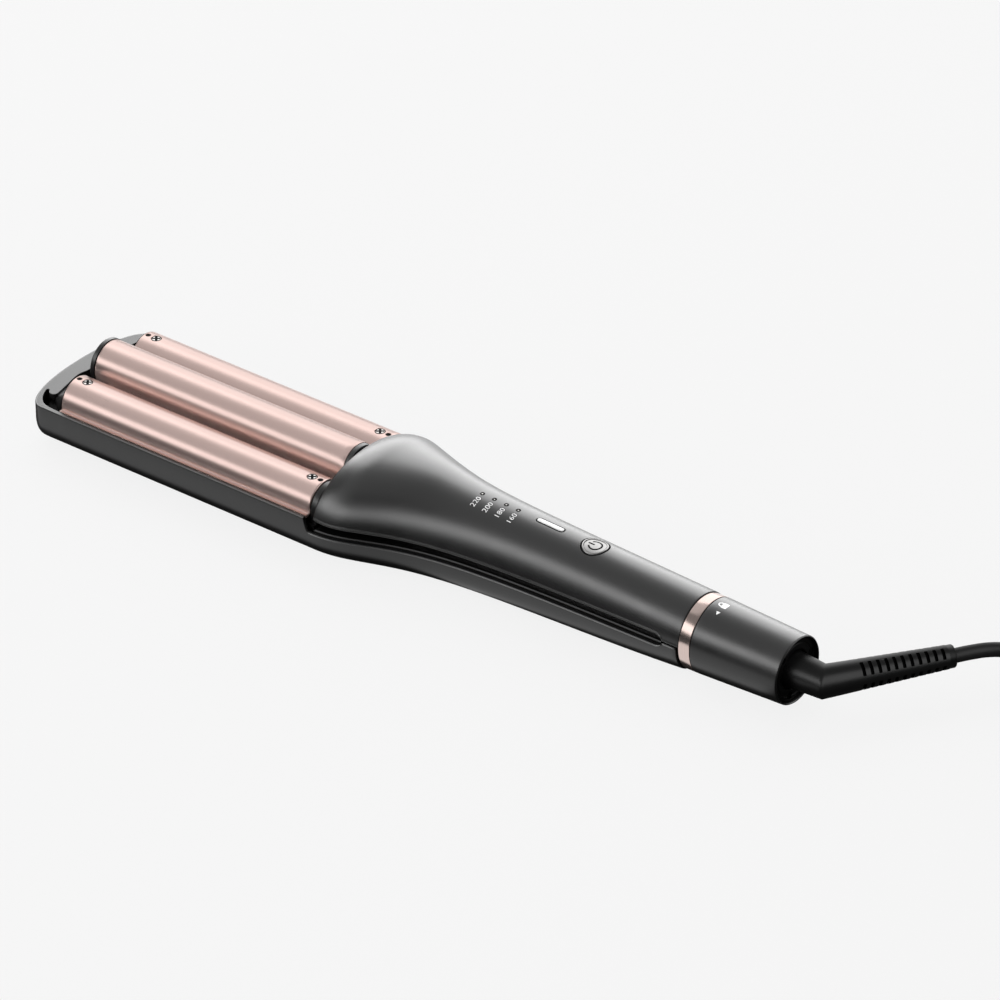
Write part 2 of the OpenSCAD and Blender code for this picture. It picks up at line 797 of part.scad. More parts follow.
// Saddle that clamps the barrel's neck to the upper cover
module barrel_mount() {
    wing_y = edge_w(mount_x1, upper_cover_z, 2) - wall - mount_inset - mount_wall;
    color("#26262a")
    difference() {
        union() {
            translate([0, 0, barrel_z])
                rod(neck_r + mount_wall, mount_x0, mount_x1);
            box(mount_x0, mount_x1, -wing_y, wing_y, upper_cover_z + seat_gap,
                upper_cover_z + seat_gap + mount_wing_t);
        }
        translate([0, 0, barrel_z])
            rod(neck_r + seat_gap, mount_x0 - 1, mount_x1 + 1);
    }
}

module thermal_fuse() {
    color("#d8d2c2")
    translate([0, 9, upper_cover_z + 2.1])
        rod(2, x_nose + 26, x_nose + 38);
}

board_x0 = x_window[3] - 9;
board_x1 = x_power + 14;

module control_board() {
    color("#2f5d3a")
    difference() {
        box(board_x0, board_x1, -board_w / 2, board_w / 2, board_z, board_z + board_t);
        for (x = post_x, s = [-1, 1])
            translate([x, s * post_y, board_z - 1])
                cylinder(h = board_t + 2, r = 0.9);
    }
}

module tact_switches() {
    color("#55585c")
    for (x = [x_power, x_temp])
        translate([x, 0, board_z + board_t]) {
            box(-3, 3, -3, 3, 0.02, switch_h);
            translate([0, 0, switch_h - 0.1])
                cylinder(h = plunger_h + 0.1, r = 1.6);
        }
}

led_h = 1;

module indicator_leds() {
    color("white")
    for (x = x_window)
        translate([x, 0, board_z + board_t])
            box(-1, 1, -0.7, 0.7, 0.02, led_h);
}

module light_pipes() {
    color("#f3efe6")
    for (x = x_window) {
        z0 = board_z + board_t + led_h + seat_gap;
        z1 = axis_z + top_h(x) - 0.05;
        translate([x, 0, z0])
            cylinder(h = z1 - z0, r = window_d / 2);
    }
}

button_proud = 0.25;
flange_t = 0.7;
button_flange = 0.6;

module power_bezel() {
    z1 = axis_z + top_h(x_power) + 0.05;
    color("#1d1d1f")
    translate([x_power, 0, z1 - 3])
        difference() {
            cylinder(h = 3, r = power_r + bezel_w);
            translate([0, 0, -1])
                cylinder(h = 5, r = power_r + button_gap);
        }
}

// Height of the underside of the buttons' flanges
button_z = plunger_top + travel + seat_gap;

module power_button() {
    z1 = axis_z + top_h(x_power) + button_proud;
    color("#d9d6d3")
    translate([x_power, 0, 0])
        union() {
            translate([0, 0, button_z])
                cylinder(h = z1 - button_z, r = power_r);
            translate([0, 0, button_z])
                cylinder(h = flange_t, r = power_r + button_flange);
        }
}

module temp_button() {
    z1 = axis_z + top_h(x_temp) + button_proud;
    color("#e6e4e2")
    union() {
        stadium(temp_l, temp_w, button_z, z1);
        stadium(temp_l + 2 * button_flange, temp_w + 2 * button_flange,
                button_z, button_z + flange_t);
    }
}

cover_screw_r = 0.85;
cover_screw_head_r = 1.7;
cover_screw_head_h = 1;
// Depth that the screws stop short of the upper cover's underside
cover_screw_inset = 0.4;

module cover_screws() {
    color("#8f9296")
    for (x = post_x, s = [-1, 1])
        translate([x, s * post_y, 0]) {
            z1 = board_z + board_t;
            translate([0, 0, slot_z + cover_screw_inset])
                cylinder(h = z1 - slot_z, r = cover_screw_r);
            translate([0, 0, z1 + 0.02])
                cylinder(h = cover_screw_head_h, r = cover_screw_head_r);
        }
}

// Ring, hinge bracket and lock collar ----------------------------------------------------------

edge_r = 0.5;

module trim_ring() {
    color("#d9ab9d")
    translate([0, 0, axis_z])
        difference() {
            union() {
                rod(ring_r - edge_r, x_ring0, x_ring0 + edge_r, ring_r);
                rod(ring_r, x_ring0 + edge_r, x_ring1 - edge_r);
                rod(ring_r, x_ring1 - edge_r, x_ring1, ring_r - edge_r);
            }
            rod(core_r + 0.03, x_ring0 - 1, x_ring1 + 1);
        }
}

bracket_x0 = x_ring0 + 0.2;
tail_l = 21;

module hinge_bracket() {
    color("#2b2b2e")
    difference() {
        union() {
            translate([0, 0, axis_z])
                rod(core_r, bracket_x0, x_plate_in - seat_gap);
            // tongue down to the hinge pin, kept inside the trim ring's bore
            difference() {
                across_y(tongue_w) {
                    translate([x_hinge, hinge_z])
                        circle(r = tongue_r);
                    polygon([[x_hinge, hinge_z - tongue_r],
                             [bracket_x0 + 0.4, axis_z - core_r + 0.6],
                             [bracket_x0 + 0.4, axis_z - 4],
                             [x_hinge - tongue_r * 0.7, hinge_z + tongue_r * 0.7]]);
                }
                translate([0, 0, axis_z])
                    difference() {
                        rod(ring_r, x_ring0 - seat_gap, x_rear);
                        rod(core_r, x_ring0 - 1, x_rear + 1);
                    }
            }
            // tail that the upper housing is screwed to
            box(x_ring0 - tail_l, bracket_x0 + 0.5, -8.5, 8.5,
                upper_cover_z + seat_gap, upper_cover_z + 5);
        }
        // wire way
        translate([0, 0, axis_z])
            rod(core_bore_r, bracket_x0 + 3, x_rear);
        translate([0, 0, axis_z])
            rod(3.5, bracket_x0 - 1, x_rear);
        // pin bore and the room for the spring
        translate([x_hinge, 0, hinge_z])
            rotate([90, 0, 0])
                cylinder(h = tray_w, r = pin_bore_r, center = true);
        box(x_hinge - 4, x_hinge + 3.4, -3.2, 3.2, 0, axis_z - 4);
        // seats of the rear plate's screws
        rear_screw_places()
            rod(0.8, x_plate_in - 8, x_rear);
    }
}

module rear_screw_places() {
    translate([0, 0, axis_z])
        for (a = [45, 165, 285])
            rotate([a, 0, 0])
                translate([0, 0, core_r - 1.45])
                    children();
}

module lock_collar() {
    color("#3a3b3d")
    translate([0, 0, axis_z])
        difference() {
            union() {
                rod(ring_r - edge_r, x_collar0, x_collar0 + edge_r, ring_r);
                rod(ring_r, x_collar0 + edge_r, x_rear - edge_r, collar_end_r);
                rod(collar_end_r, x_rear - edge_r, x_rear, collar_end_r - edge_r * 0.6);
            }
            rod(collar_bore_r, x_collar0 - 1, x_rear + 1);
            rod(face_r + 0.1, x_plate_in - 0.2, x_rear + 1);
        }
}

module rear_plate() {
    color("#1a1a1b")
    difference() {
        translate([0, 0, axis_z])
            rod(face_r, x_plate_in, x_face);
        translate([0, 0, axis_z]) {
            rod(journal_r + fit_gap, x_plate_in - 1, x_face + 1);
            rod(relief_root_d / 2 + groove_gap, x_plate_in + 1.5, x_face + 1);
        }
        rear_screw_places()
            rod(0.95, x_plate_in - 1, x_face + 1);
        rear_screw_places()
            rod(1.75, x_face - 1.2, x_face + 1);
    }
}

module rear_plate_screws() {
    color("#6f7276")
    rear_screw_places()
        union() {
            rod(0.75, x_plate_in - 7, x_face - 1.1);
            rod(1.4, x_face - 1.15, x_face - 0.3);
        }
}

// Cord swivel --------------------------------------------------------------------------------

spindle_r = 4;
spindle_l = 14;
x_relief0 = x_plate_in + 1.8;

module swivel_bushing() {
    color("#222224")
    translate([0, 0, axis_z])
        difference() {
            union() {
                rod(spindle_r, x_plate_in - 3.6 - spindle_l, x_plate_in - 3.5);
                rod(flange_r, x_plate_in - 3.6, x_plate_in - run_gap);
                rod(journal_r, x_plate_in - run_gap - 0.1, x_relief0 - 0.02);
            }
            rod(cord_d / 2 - 1, x_plate_in - 8, x_relief0 + 1);
        }
}

module slip_rings() {
    color("#c9a449")
    translate([0, 0, axis_z])
        for (x = [x_plate_in - 8, x_plate_in - 14])
            difference() {
                rod(6, x - 1.5, x + 1.5);
                rod(spindle_r + 0.02, x - 2, x + 2);
            }
}

module brush_block() {
    x0 = x_plate_in - 17;
    x1 = x_plate_in - 5;
    color("#7b5f3c")
    translate([0, 0, axis_z])
        difference() {
            rod(core_bore_r - 0.05, x0, x1);
            rod(6 + run_gap, x0 - 1, x1 + 1);
        }
}

x_elbow = x_rear + elbow_back;
relief_end_r = relief_end_d / 2;
elbow_r = relief_elbow_d / 2;

// Turns children from +X to the direction of the outer half of the relief
module past_elbow() {
    translate([x_elbow, 0, axis_z])
        rotate([0, 0, elbow_turn])
            children();
}

slot_w = 2;
slot_l = 6.2;
slot_depth = 1.5;
first_slot = 16.5;

module strain_relief() {
    color("#1f1f21")
    difference() {
        union() {
            translate([0, 0, axis_z])
                rod(relief_root_d / 2, x_relief0, x_elbow, elbow_r);
            past_elbow() {
                rotate([0, 90, 0])
                    sphere(r = elbow_r + seat_gap);
                rod(elbow_r, 0, relief_l, relief_end_r);
            }
        }
        // flexing slots, four rows round the relief
        past_elbow()
            for (i = [0:slot_count - 1], a = [30:90:300])
                rotate([a, 0, 0])
                    translate([first_slot + i * slot_pitch,
                               -slot_l / 2,
                               elbow_r - (elbow_r - relief_end_r)
                               * (first_slot + i * slot_pitch) / relief_l - slot_depth])
                        cube([slot_w, slot_l, 4]);
    }
}

// Cord ---------------------------------------------------------------------------------------

cord_r = cord_d / 2;
// Route of the free stretch, from the relief's end down to the coil
cord_route = [[233.2, 47.2, 16.8], [237.4, 53.9, 16.8], [241.7, 60.6, 16.2], [246, 67.3, 14.1],
              [250.3, 74, 10.4], [254.6, 80.7, 6.8], [258.9, 87.4, 4.6], [263.2, 94.1, 4.1]];
// Route of the tail, from the coil's top layer down to the plug
tail_route = [[345.3, 73.5, 22.9], [346.8, 67, 21.9], [349, 60.5, 19.4], [351.5, 54, 15.9],
              [353.8, 47.5, 12.2], [355.5, 41, 9.2], [356.5, 34.5, 7.4], [356.9, 28, 6.8],
              [356.9, 22, 6.8]];
coil_x = 303.6;
coil_y = 80.3;
// Radius at the middle of the turns
coil_r = 35;
// Distance between turns that lie side by side, and between layers
coil_side = 6.4;
coil_rise = 6.3;
coil_layers = 4;
coil_lift = 1;
// Half the coil's width across its turns, and its height
coil_half = coil_side + cord_r + seat_gap;
coil_h = (coil_layers - 1) * coil_rise + cord_d;

function unit(v) = v / norm(v);

// Sweeps a round tube along a list of points
module sweep_tube(pts, r, sides) {
    n = len(pts);
    dirs = [for (i = [0:n - 1]) unit(pts[min(n - 1, i + 1)] - pts[max(0, i - 1)])];
    rings = [for (i = [0:n - 1])
        let (side = unit(cross(dirs[i], [0, 0, 1])), up = cross(side, dirs[i]))
        [for (k = [0:sides - 1])
            let (a = 360 * k / sides)
            pts[i] + r * cos(a) * side + r * sin(a) * up]];
    polyhedron([for (g = rings, p = g) p],
               concat([for (i = [0:n - 2], k = [0:sides - 1])
                          let (l = (k + 1) % sides)
                          each [[i * sides + k, i * sides + l, (i + 1) * sides + k],
                                [i * sides + l, (i + 1) * sides + l, (i + 1) * sides + k]]],
                      [[for (k = [sides - 1:-1:0]) k]],
                      [[for (k = [0:sides - 1]) (n - 1) * sides + k]]),
               convexity = 4);
}

module cord_tube() {
    color("#1c1c1e")
    sweep_tube(cord_route, cord_r, 10);
}

module cord_tail() {
    color("#1c1c1e")
    sweep_tube(tail_route, cord_r, 10);
}

module cord_coil() {
    color("#1c1c1e")
    translate([coil_x, coil_y, coil_lift])
        rotate_extrude()
            translate([coil_r - coil_half, 0])
                square([2 * coil_half, coil_h]);
}

tie_w = 8;
tie_t = 0.6;
tie_turn = 65;

// A band round the bundle, clear of it by the running gap
module cord_tie() {
    r0 = sqrt(pow(coil_r - coil_half, 2) - pow(tie_w / 2, 2)) - run_gap;
    r1 = coil_r + coil_half + run_gap;
    color("#111112")
    translate([coil_x, coil_y, coil_lift])
        rotate([0, 0, tie_turn])
            difference() {
                box(r0 - tie_t, r1 + tie_t, -tie_w / 2, tie_w / 2,
                    -run_gap - tie_t, coil_h + run_gap + tie_t);
                box(r0, r1, -tie_w, tie_w, -run_gap, coil_h + run_gap);
            }
}

plug_x = 356.9;
plug_y = 22;
plug_l = 36;
plug_w = 34;
plug_t = 13.6;
plug_pin_d = 4;
plug_pin_l = 19;
plug_pin_gap = 19;

// Places the plug, with its +X along its own length, away from the cord
module at_plug() {
    translate([plug_x, plug_y, plug_t / 2])
        rotate([0, 0, -90])
            children();
}

module plug_body() {
    side = [[0, 5], [9, 6.5], [plug_l - 19, plug_w / 2 - 4], [plug_l - 12, plug_w / 2],
            [plug_l, plug_w / 2]];
    color("#1c1c1e")
    at_plug()
        translate([0, 0, -plug_t / 2])
            linear_extrude(height = plug_t)
                polygon(concat(side, [for (p = reversed(side)) [p[0], -p[1]]]));
}

module plug_pins() {
    color("#c9ccd0")
    at_plug()
        for (s = [-1, 1])
            translate([0, s * plug_pin_gap / 2, 0])
                rod(plug_pin_d / 2, plug_l, plug_l + plug_pin_l);
}

// Assembly -----------------------------------------------------------------------------------

lower_housing();
lower_cover();
wave_plate();
plate_tip_block();
plate_rear_block();
plate_screws();
plate_pins();
heat_spreaders();
lower_heaters();
heater_carrier();
lower_thermistor();
hinge_pin();
opening_spring();
upper_housing();
upper_cover();
middle_barrel();
barrel_tip_cap();
barrel_neck();
barrel_core();
barrel_heater();
barrel_mount();
thermal_fuse();
control_board();
tact_switches();
indicator_leds();
light_pipes();
power_bezel();
power_button();
temp_button();
cover_screws();
trim_ring();
hinge_bracket();
lock_collar();
rear_plate();
rear_plate_screws();
swivel_bushing();
slip_rings();
brush_block();
strain_relief();
cord_tube();
cord_coil();
cord_tail();
cord_tie();
plug_body();
plug_pins();
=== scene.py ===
import math

import bmesh
import bpy
from mathutils import Euler, Matrix, Vector


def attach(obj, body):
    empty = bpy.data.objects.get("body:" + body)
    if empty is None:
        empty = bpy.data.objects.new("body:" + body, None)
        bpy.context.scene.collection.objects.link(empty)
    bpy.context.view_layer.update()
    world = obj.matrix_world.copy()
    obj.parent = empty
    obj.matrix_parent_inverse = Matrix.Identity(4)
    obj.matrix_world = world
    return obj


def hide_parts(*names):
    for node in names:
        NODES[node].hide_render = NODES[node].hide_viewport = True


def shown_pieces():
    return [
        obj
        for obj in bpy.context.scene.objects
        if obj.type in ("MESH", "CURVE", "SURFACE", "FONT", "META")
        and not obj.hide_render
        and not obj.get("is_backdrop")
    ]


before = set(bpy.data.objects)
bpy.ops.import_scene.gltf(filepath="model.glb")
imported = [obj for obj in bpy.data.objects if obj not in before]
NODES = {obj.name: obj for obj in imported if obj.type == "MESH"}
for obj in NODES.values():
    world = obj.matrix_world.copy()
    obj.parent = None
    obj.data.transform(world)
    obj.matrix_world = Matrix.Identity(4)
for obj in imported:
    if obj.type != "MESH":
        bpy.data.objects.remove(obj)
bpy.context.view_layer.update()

MM = 0.001


def keep(name, data):
    """A new object of that data, in the scene."""
    piece = bpy.data.objects.new(name, data)
    bpy.context.scene.collection.objects.link(piece)
    return piece


# Camera -------------------------------------------------------------------------------------

VIEW_AZIMUTH = math.radians(37.815)
VIEW_ELEVATION = math.radians(32.380)
CAMERA_PLACE = (1.73472, -2.18521, 1.79314)


def place_camera():
    """The camera stands at the near, cord side and looks down on the tool."""
    data = bpy.data.cameras.new("camera")
    data.lens = 288
    data.sensor_width = 36
    data.clip_end = 30
    camera = keep("camera", data)
    turn = Euler((math.pi / 2 - VIEW_ELEVATION, 0, VIEW_AZIMUTH)).to_matrix().to_4x4()
    camera.matrix_world = Matrix.Translation(CAMERA_PLACE) @ turn
    bpy.context.scene.camera = camera


place_camera()

# Cord ---------------------------------------------------------------------------------------

CORD_D = 6.2
CORD_ROUTE = [(233.2, 47.2, 16.8), (237.4, 53.9, 16.8), (241.7, 60.6, 16.2), (246, 67.3, 14.1),
              (250.3, 74, 10.4), (254.6, 80.7, 6.8), (258.9, 87.4, 4.6), (263.2, 94.1, 4.1)]
TAIL_ROUTE = [(345.3, 73.5, 22.9), (346.8, 67, 21.9), (349, 60.5, 19.4), (351.5, 54, 15.9),
              (353.8, 47.5, 12.2), (355.5, 41, 9.2), (356.5, 34.5, 7.4), (356.9, 28, 6.8),
              (356.9, 22, 6.8)]
COIL_X, COIL_Y, COIL_Z = 303.6, 80.3, 4.1
COIL_R, COIL_SIDE, COIL_RISE = 35, 6.4, 6.3
COIL_START = 147.3
COIL_STEPS = 16


def coil_points():
    """Turns laid side by side and in layers, wound clockwise from above. A leg is its turns,
    its two radii and its two layers."""
    inner, outer = COIL_R - COIL_SIDE, COIL_R + COIL_SIDE
    legs = [(1.94, outer, inner, 0, 0), (0.24, inner, inner, 0, 1),
            (1.94, inner, outer, 1, 1), (0.17, outer, outer, 1, 2),
            (1.94, outer, inner, 2, 2), (0.24, inner, inner, 2, 3),
            (1.94, inner, outer, 3, 3)]
    total = sum(leg[0] for leg in legs)
    count = round(total * COIL_STEPS)
    points = []
    for i in range(count):
        turned_by = total * i / (count - 1)
        left = turned_by
        for turns, r0, r1, low, high in legs:
            if left <= turns + 1e-9:
                break
            left -= turns
        share = min(1, left / turns)
        radius = r0 + (r1 - r0) * share
        layer = low + (high - low) * (0.5 - 0.5 * math.cos(math.pi * share))
        angle = math.radians(COIL_START - 360 * turned_by)
        points.append((COIL_X + radius * math.cos(angle), COIL_Y + radius * math.sin(angle),
                       COIL_Z + COIL_RISE * layer))
    return points


def lay_cord():
    """The whole lead as one smooth curve, from the strain relief to the plug."""
    points = CORD_ROUTE + coil_points() + TAIL_ROUTE
    data = bpy.data.curves.new("mains_cord", "CURVE")
    data.dimensions = "3D"
    data.bevel_depth = CORD_D / 2 * MM
    data.bevel_resolution = 6
    data.resolution_u = 6
    data.use_fill_caps = True
    spline = data.splines.new("BEZIER")
    spline.bezier_points.add(len(points) - 1)
    for knot, place in zip(spline.bezier_points, points):
        knot.co = Vector(place) * MM
        knot.handle_left_type = knot.handle_right_type = "AUTO"
    return keep("mains_cord", data)


cord = lay_cord()

# Sizes of the tool, in millimetres ------------------------------------------------------------

AXIS_Z = 16.8
WALL = 1.8
RUN_GAP, SEAT_GAP = 0.3, 0.1
BARREL_R, BARREL_RISE = 20.5 / 2, 10.2
HUMP_RISE, HAIR_GAP = 3.5, 2.98
FLANGE_W, PLATE_MARGIN, PLATE_T = 1.6, 0.85, 1.4
RING_R, COLLAR_END_R, CORE_R = 16.5, 15.0, 12.9
NECK_R, MOUNT_WALL = 8.7, 1.8
POWER_R, BEZEL_W = 5.6, 0.6
TEMP_L, TEMP_W = 14.0, 3.0
COVER_T, POST_H, BOARD_T, LED_H = 1.6, 5.2, 1.6, 1.0
SWITCH_H, PLUNGER_H, TRAVEL = 3.5, 0.8, 0.4
PLUG_X, PLUG_Y, PLUG_T, PLUG_L, PLUG_HALF = 356.9, 22.0, 13.6, 36.0, 17.0
PRONG_R, PRONG_L, PRONG_OUT = 2.0, 19.0, 9.5

# curves of the housings: how far each reaches along the tool, its rise or fall, its power
TIP_ROUND, UNDER_ROUND, TIP_POWER = 12, 14, 2.15
FLARE_L, FLARE_POWER = 35, 2.2
REAR_H, SHOULDER_H, CROWN_H, CROWN_L = 17, 5.6, 2.4, 45
NOSE_FALL_L, NOSE_FALL, NOSE_TUCK = 15, 4.4, 1.9
NOSE_WALL, WALL_GAIN = 1.1, 0.09
STEP_L, SLOT_END_L = 4, 3

# along the tool
X_TIP, X_REAR = -190.0, 190.0
X_PLATE0 = X_TIP + 20
X_PLATE1 = X_PLATE0 + 134.4
X_NOSE = X_PLATE1 + 3.6
X_RING0, X_RING1 = 142.3, 147.7
X_UPPER1 = X_RING0 - SEAT_GAP
X_LOWER1 = X_RING0 - 1.4
X_HINGE, HINGE_Z = X_LOWER1 - 4, 6.0
X_SLOT1 = X_UPPER1 - 9
X_STEP = X_NOSE - 3.6
X_LAND1 = X_TIP + 8.4
X_BARREL0, X_BARREL1 = X_PLATE0 - 0.4, X_PLATE1 - 0.4
X_POWER = X_RING0 - 54.4
X_TEMP = X_POWER - 22.9
X_WINDOWS = [X_TEMP - 16.7 - 6.2 * i for i in range(4)]
X_COLLAR0 = X_REAR - 42
X_ELBOW = X_REAR + 12.8
HANDLE_L = X_UPPER1 - X_NOSE

# upwards and across
FLOOR_Z = 2.0
RIM_Z = AXIS_Z + 3.2
LIP_Z = AXIS_Z - 3
SLOT_Z = AXIS_Z + 2.5
JOINT_Z = AXIS_Z - 0.8
VALLEY_Z = AXIS_Z - 2.8
FLANGE_Z = RIM_Z - 0.4
HUMP_Z = AXIS_Z + HUMP_RISE
CREST_Z = HUMP_Z + BARREL_R
BARREL_Z = AXIS_Z + BARREL_RISE
BOARD_TOP = SLOT_Z + COVER_T + POST_H + BOARD_T
BUTTON_FOOT = BOARD_TOP + SWITCH_H + PLUNGER_H + TRAVEL + SEAT_GAP
HUMP_Y = math.sqrt((2 * BARREL_R + HAIR_GAP) ** 2 - (BARREL_RISE - HUMP_RISE) ** 2)
TRAY_HALF = HUMP_Y + BARREL_R + FLANGE_W + PLATE_MARGIN + WALL
NECK_HALF = 16
SIDES = (-1, 1)


def clamped(value, low=0.0, high=1.0):
    return min(high, max(low, value))


def tip_share(x, length):
    """Share of the full width or depth that the rounded tip has at x."""
    s = clamped((x - X_TIP) / length)
    return (1 - (1 - s) ** TIP_POWER) ** (1 / TIP_POWER)


def half_width(x):
    """Half width of both arms at x."""
    if x <= X_NOSE:
        return TRAY_HALF * tip_share(x, TIP_ROUND)
    return NECK_HALF + (TRAY_HALF - NECK_HALF) / (1 + ((x - X_NOSE) / FLARE_L) ** FLARE_POWER)


def under_depth(x):
    return AXIS_Z * tip_share(x, UNDER_ROUND)


def under_power(x):
    """Power of the superellipse that the underside's section follows."""
    return 2.1 + 1.9 * (1 - (max(0, x - X_NOSE) / HANDLE_L) ** 2.5)


def nose_share(x):
    """1 at the nose, down to 0 where its drop ends."""
    return max(0, 1 - max(0, x - X_NOSE) / NOSE_FALL_L) ** 2


def top_height(x):
    """Height of the upper housing's top above the axis."""
    u = max(0, x - X_NOSE)
    shoulder = SHOULDER_H * (1 - (u / HANDLE_L) ** 1.6)
    crown = CROWN_H / (1 + (u / CROWN_L) ** 6)
    return REAR_H + shoulder + crown - NOSE_FALL * nose_share(x)


def upper_half(x):
    return half_width(x) - NOSE_TUCK * nose_share(x)


def upper_wall(x):
    """Wall of the upper housing, which thins towards the nose."""
    return min(WALL, NOSE_WALL + (x - X_NOSE) * WALL_GAIN)


def top_z(x, y):
    """Height of the upper housing's surface above a point of the plan."""
    return AXIS_Z + top_height(x) * math.sqrt(max(0, 1 - (y / upper_half(x)) ** 2))


def slot_opening(x):
    """1 along the slot, 0 behind its rounded end."""
    return clamped((X_SLOT1 + 1 - x) / SLOT_END_L) ** 0.5


def lower_edge(x):
    """Height of the lower arm's upper edge: tray rim, slot lip, joint at the hinge."""
    if x < X_NOSE + 20:
        return LIP_Z + (RIM_Z - LIP_Z) * (1 - clamped((x - X_STEP) / STEP_L)) ** 3
    return LIP_Z + (JOINT_Z - LIP_Z) * (1 - slot_opening(x))


def upper_edge(x):
    low = JOINT_Z + 1.1
    return low + (SLOT_Z - low) * slot_opening(x)


def stations(*spans):
    """Stations along the tool: each span gives its start, its end and its number of steps."""
    xs = []
    for start, end, steps in spans:
        xs += [start + (end - start) * i / steps for i in range(steps + 1)]
    return sorted(set(round(x, 4) for x in xs))


def tip_stations(steps):
    """Stations round the tip, closest at its end."""
    return [X_TIP + TIP_ROUND * (1 - math.cos(math.pi / 2 * i / steps)) for i in range(steps + 1)]


# Surface effects ------------------------------------------------------------------------------


def feed(socket, value):
    """Links an input to another node's output, or sets it to a value."""
    if isinstance(value, bpy.types.NodeSocket):
        socket.id_data.links.new(value, socket)
    else:
        socket.default_value = value


def new_node(tree, kind, **settings):
    node = tree.nodes.new("ShaderNode" + kind)
    for name, value in settings.items():
        setattr(node, name, value)
    return node


def calculated(operation, a, b=0.0):
    """A Math node; one of a and b may be a number."""
    tree = (a if isinstance(a, bpy.types.NodeSocket) else b).id_data
    node = new_node(tree, "Math", operation=operation)
    feed(node.inputs[0], a)
    feed(node.inputs[1], b)
    return node.outputs[0]


def add(a, b):
    return calculated("ADD", a, b)


def less(a, b):
    return calculated("SUBTRACT", a, b)


def times(a, b):
    return calculated("MULTIPLY", a, b)


def vectors(operation, a, b=None):
    """A Vector Math node."""
    node = new_node(a.id_data, "VectorMath", operation=operation)
    feed(node.inputs[0], a)
    if b is not None:
        feed(node.inputs["Scale" if operation == "SCALE" else 1], b)
    return node.outputs["Value" if operation == "LENGTH" else "Vector"]


def split(vector):
    """The outputs X, Y and Z of a vector."""
    node = new_node(vector.id_data, "SeparateXYZ")
    feed(node.inputs[0], vector)
    return node.outputs


def blend_colour(share, a, b):
    """A Mix node between two colours."""
    node = new_node(share.id_data, "Mix", data_type="RGBA")
    feed(node.inputs["Factor"], share)
    for socket in node.inputs:
        if socket.type == "RGBA":
            feed(socket, {"A": a, "B": b}[socket.name])
    return next(socket for socket in node.outputs if socket.type == "RGBA")


def place_in(tree, stretch=(1, 1, 1)):
    """The piece's own coordinates in metres, stretched."""
    scale = new_node(tree, "Mapping")
    feed(scale.inputs["Scale"], stretch)
    feed(scale.inputs["Vector"], new_node(tree, "TexCoord").outputs["Object"])
    return scale.outputs["Vector"]


def noise(where, scale, detail=2.0, rough=0.5):
    node = new_node(where.id_data, "TexNoise")
    feed(node.inputs["Vector"], where)
    feed(node.inputs["Scale"], scale)
    feed(node.inputs["Detail"], detail)
    feed(node.inputs["Roughness"], rough)
    return node.outputs["Fac"]


def ramped(value, low, high):
    """0 below low, 1 above high, smooth between."""
    node = new_node(value.id_data, "MapRange", interpolation_type="SMOOTHSTEP")
    feed(node.inputs["Value"], value)
    feed(node.inputs["From Min"], low)
    feed(node.inputs["From Max"], high)
    return node.outputs["Result"]


def rgba(value):
    """A colour from a grey level or from red, green and blue."""
    return (value, value, value, 1) if isinstance(value, float) else (*value, 1)


def effect(name, **defaults):
    """A shader node group with an input for each default, which gives a surface's colour,
    roughness and height; returns its tree, its inputs and its outputs."""
    tree = bpy.data.node_groups.new(name, "ShaderNodeTree")
    kinds = {3: "Vector", 4: "Color"}
    for label, value in defaults.items():
        kind = "Float" if isinstance(value, float) else kinds[len(value)]
        socket = tree.interface.new_socket(name=label.replace("_", " "), in_out="INPUT",
                                           socket_type="NodeSocket" + kind)
        socket.default_value = value
    for label, kind in (("Colour", "Color"), ("Roughness", "Float"), ("Height", "Float")):
        tree.interface.new_socket(name=label, in_out="OUTPUT", socket_type="NodeSocket" + kind)
    return tree, tree.nodes.new("NodeGroupInput").outputs, tree.nodes.new("NodeGroupOutput").inputs


def moulded_surface():
    """Moulded or sprayed plastic: fine grain, slow unevenness and rubbed edges."""
    tree, given, out = effect("moulded_surface", Colour=rgba(0.03), Rubbed_Colour=rgba(0.09),
                              Roughness=0.45, Grain_Scale=2200.0, Grain_Depth=0.5, Wear=0.3)
    where = place_in(tree)
    grain = noise(where, given["Grain Scale"], 3.0, 0.6)
    cloud = noise(where, 34.0, 3.0, 0.55)
    smudge = ramped(noise(where, 70.0, 4.0, 0.65), 0.45, 0.75)
    edge = ramped(new_node(tree, "NewGeometry").outputs["Pointiness"], 0.53, 0.62)
    scuffed = times(edge, ramped(noise(where, 420.0), 0.35, 0.6))
    shade = vectors("SCALE", given["Colour"], add(0.86, times(cloud, 0.28)))
    feed(out["Colour"], blend_colour(times(scuffed, given["Wear"]), shade, given["Rubbed Colour"]))
    uneven = add(times(smudge, -0.05), times(cloud, 0.06))
    feed(out["Roughness"], add(given["Roughness"], uneven))
    feed(out["Height"], times(grain, given["Grain Depth"]))
    return tree


def drawn_metal():
    """Fine lines along the tool, as on drawn tube and sheet, with slow tone changes."""
    tree, given, out = effect("drawn_metal", Colour=(0.8, 0.6, 0.54, 1),
                              Deep_Colour=(0.6, 0.42, 0.37, 1), Roughness=0.3, Line_Depth=0.3)
    lines = noise(place_in(tree, (0.02, 1, 1)), 5200.0, 2.0, 0.6)
    bloom = noise(place_in(tree, (0.5, 1, 1)), 46.0, 3.0, 0.5)
    speck = noise(place_in(tree), 3600.0, 2.0, 0.7)
    share = times(ramped(bloom, 0.3, 0.8), 0.35)
    feed(out["Colour"], blend_colour(share, given["Colour"], given["Deep Colour"]))
    change = add(add(times(lines, 0.08), times(bloom, 0.06)), -0.07)
    feed(out["Roughness"], add(given["Roughness"], change))
    relief = add(times(lines, 0.7), times(speck, 0.3))
    feed(out["Height"], times(relief, given["Line Depth"]))
    return tree


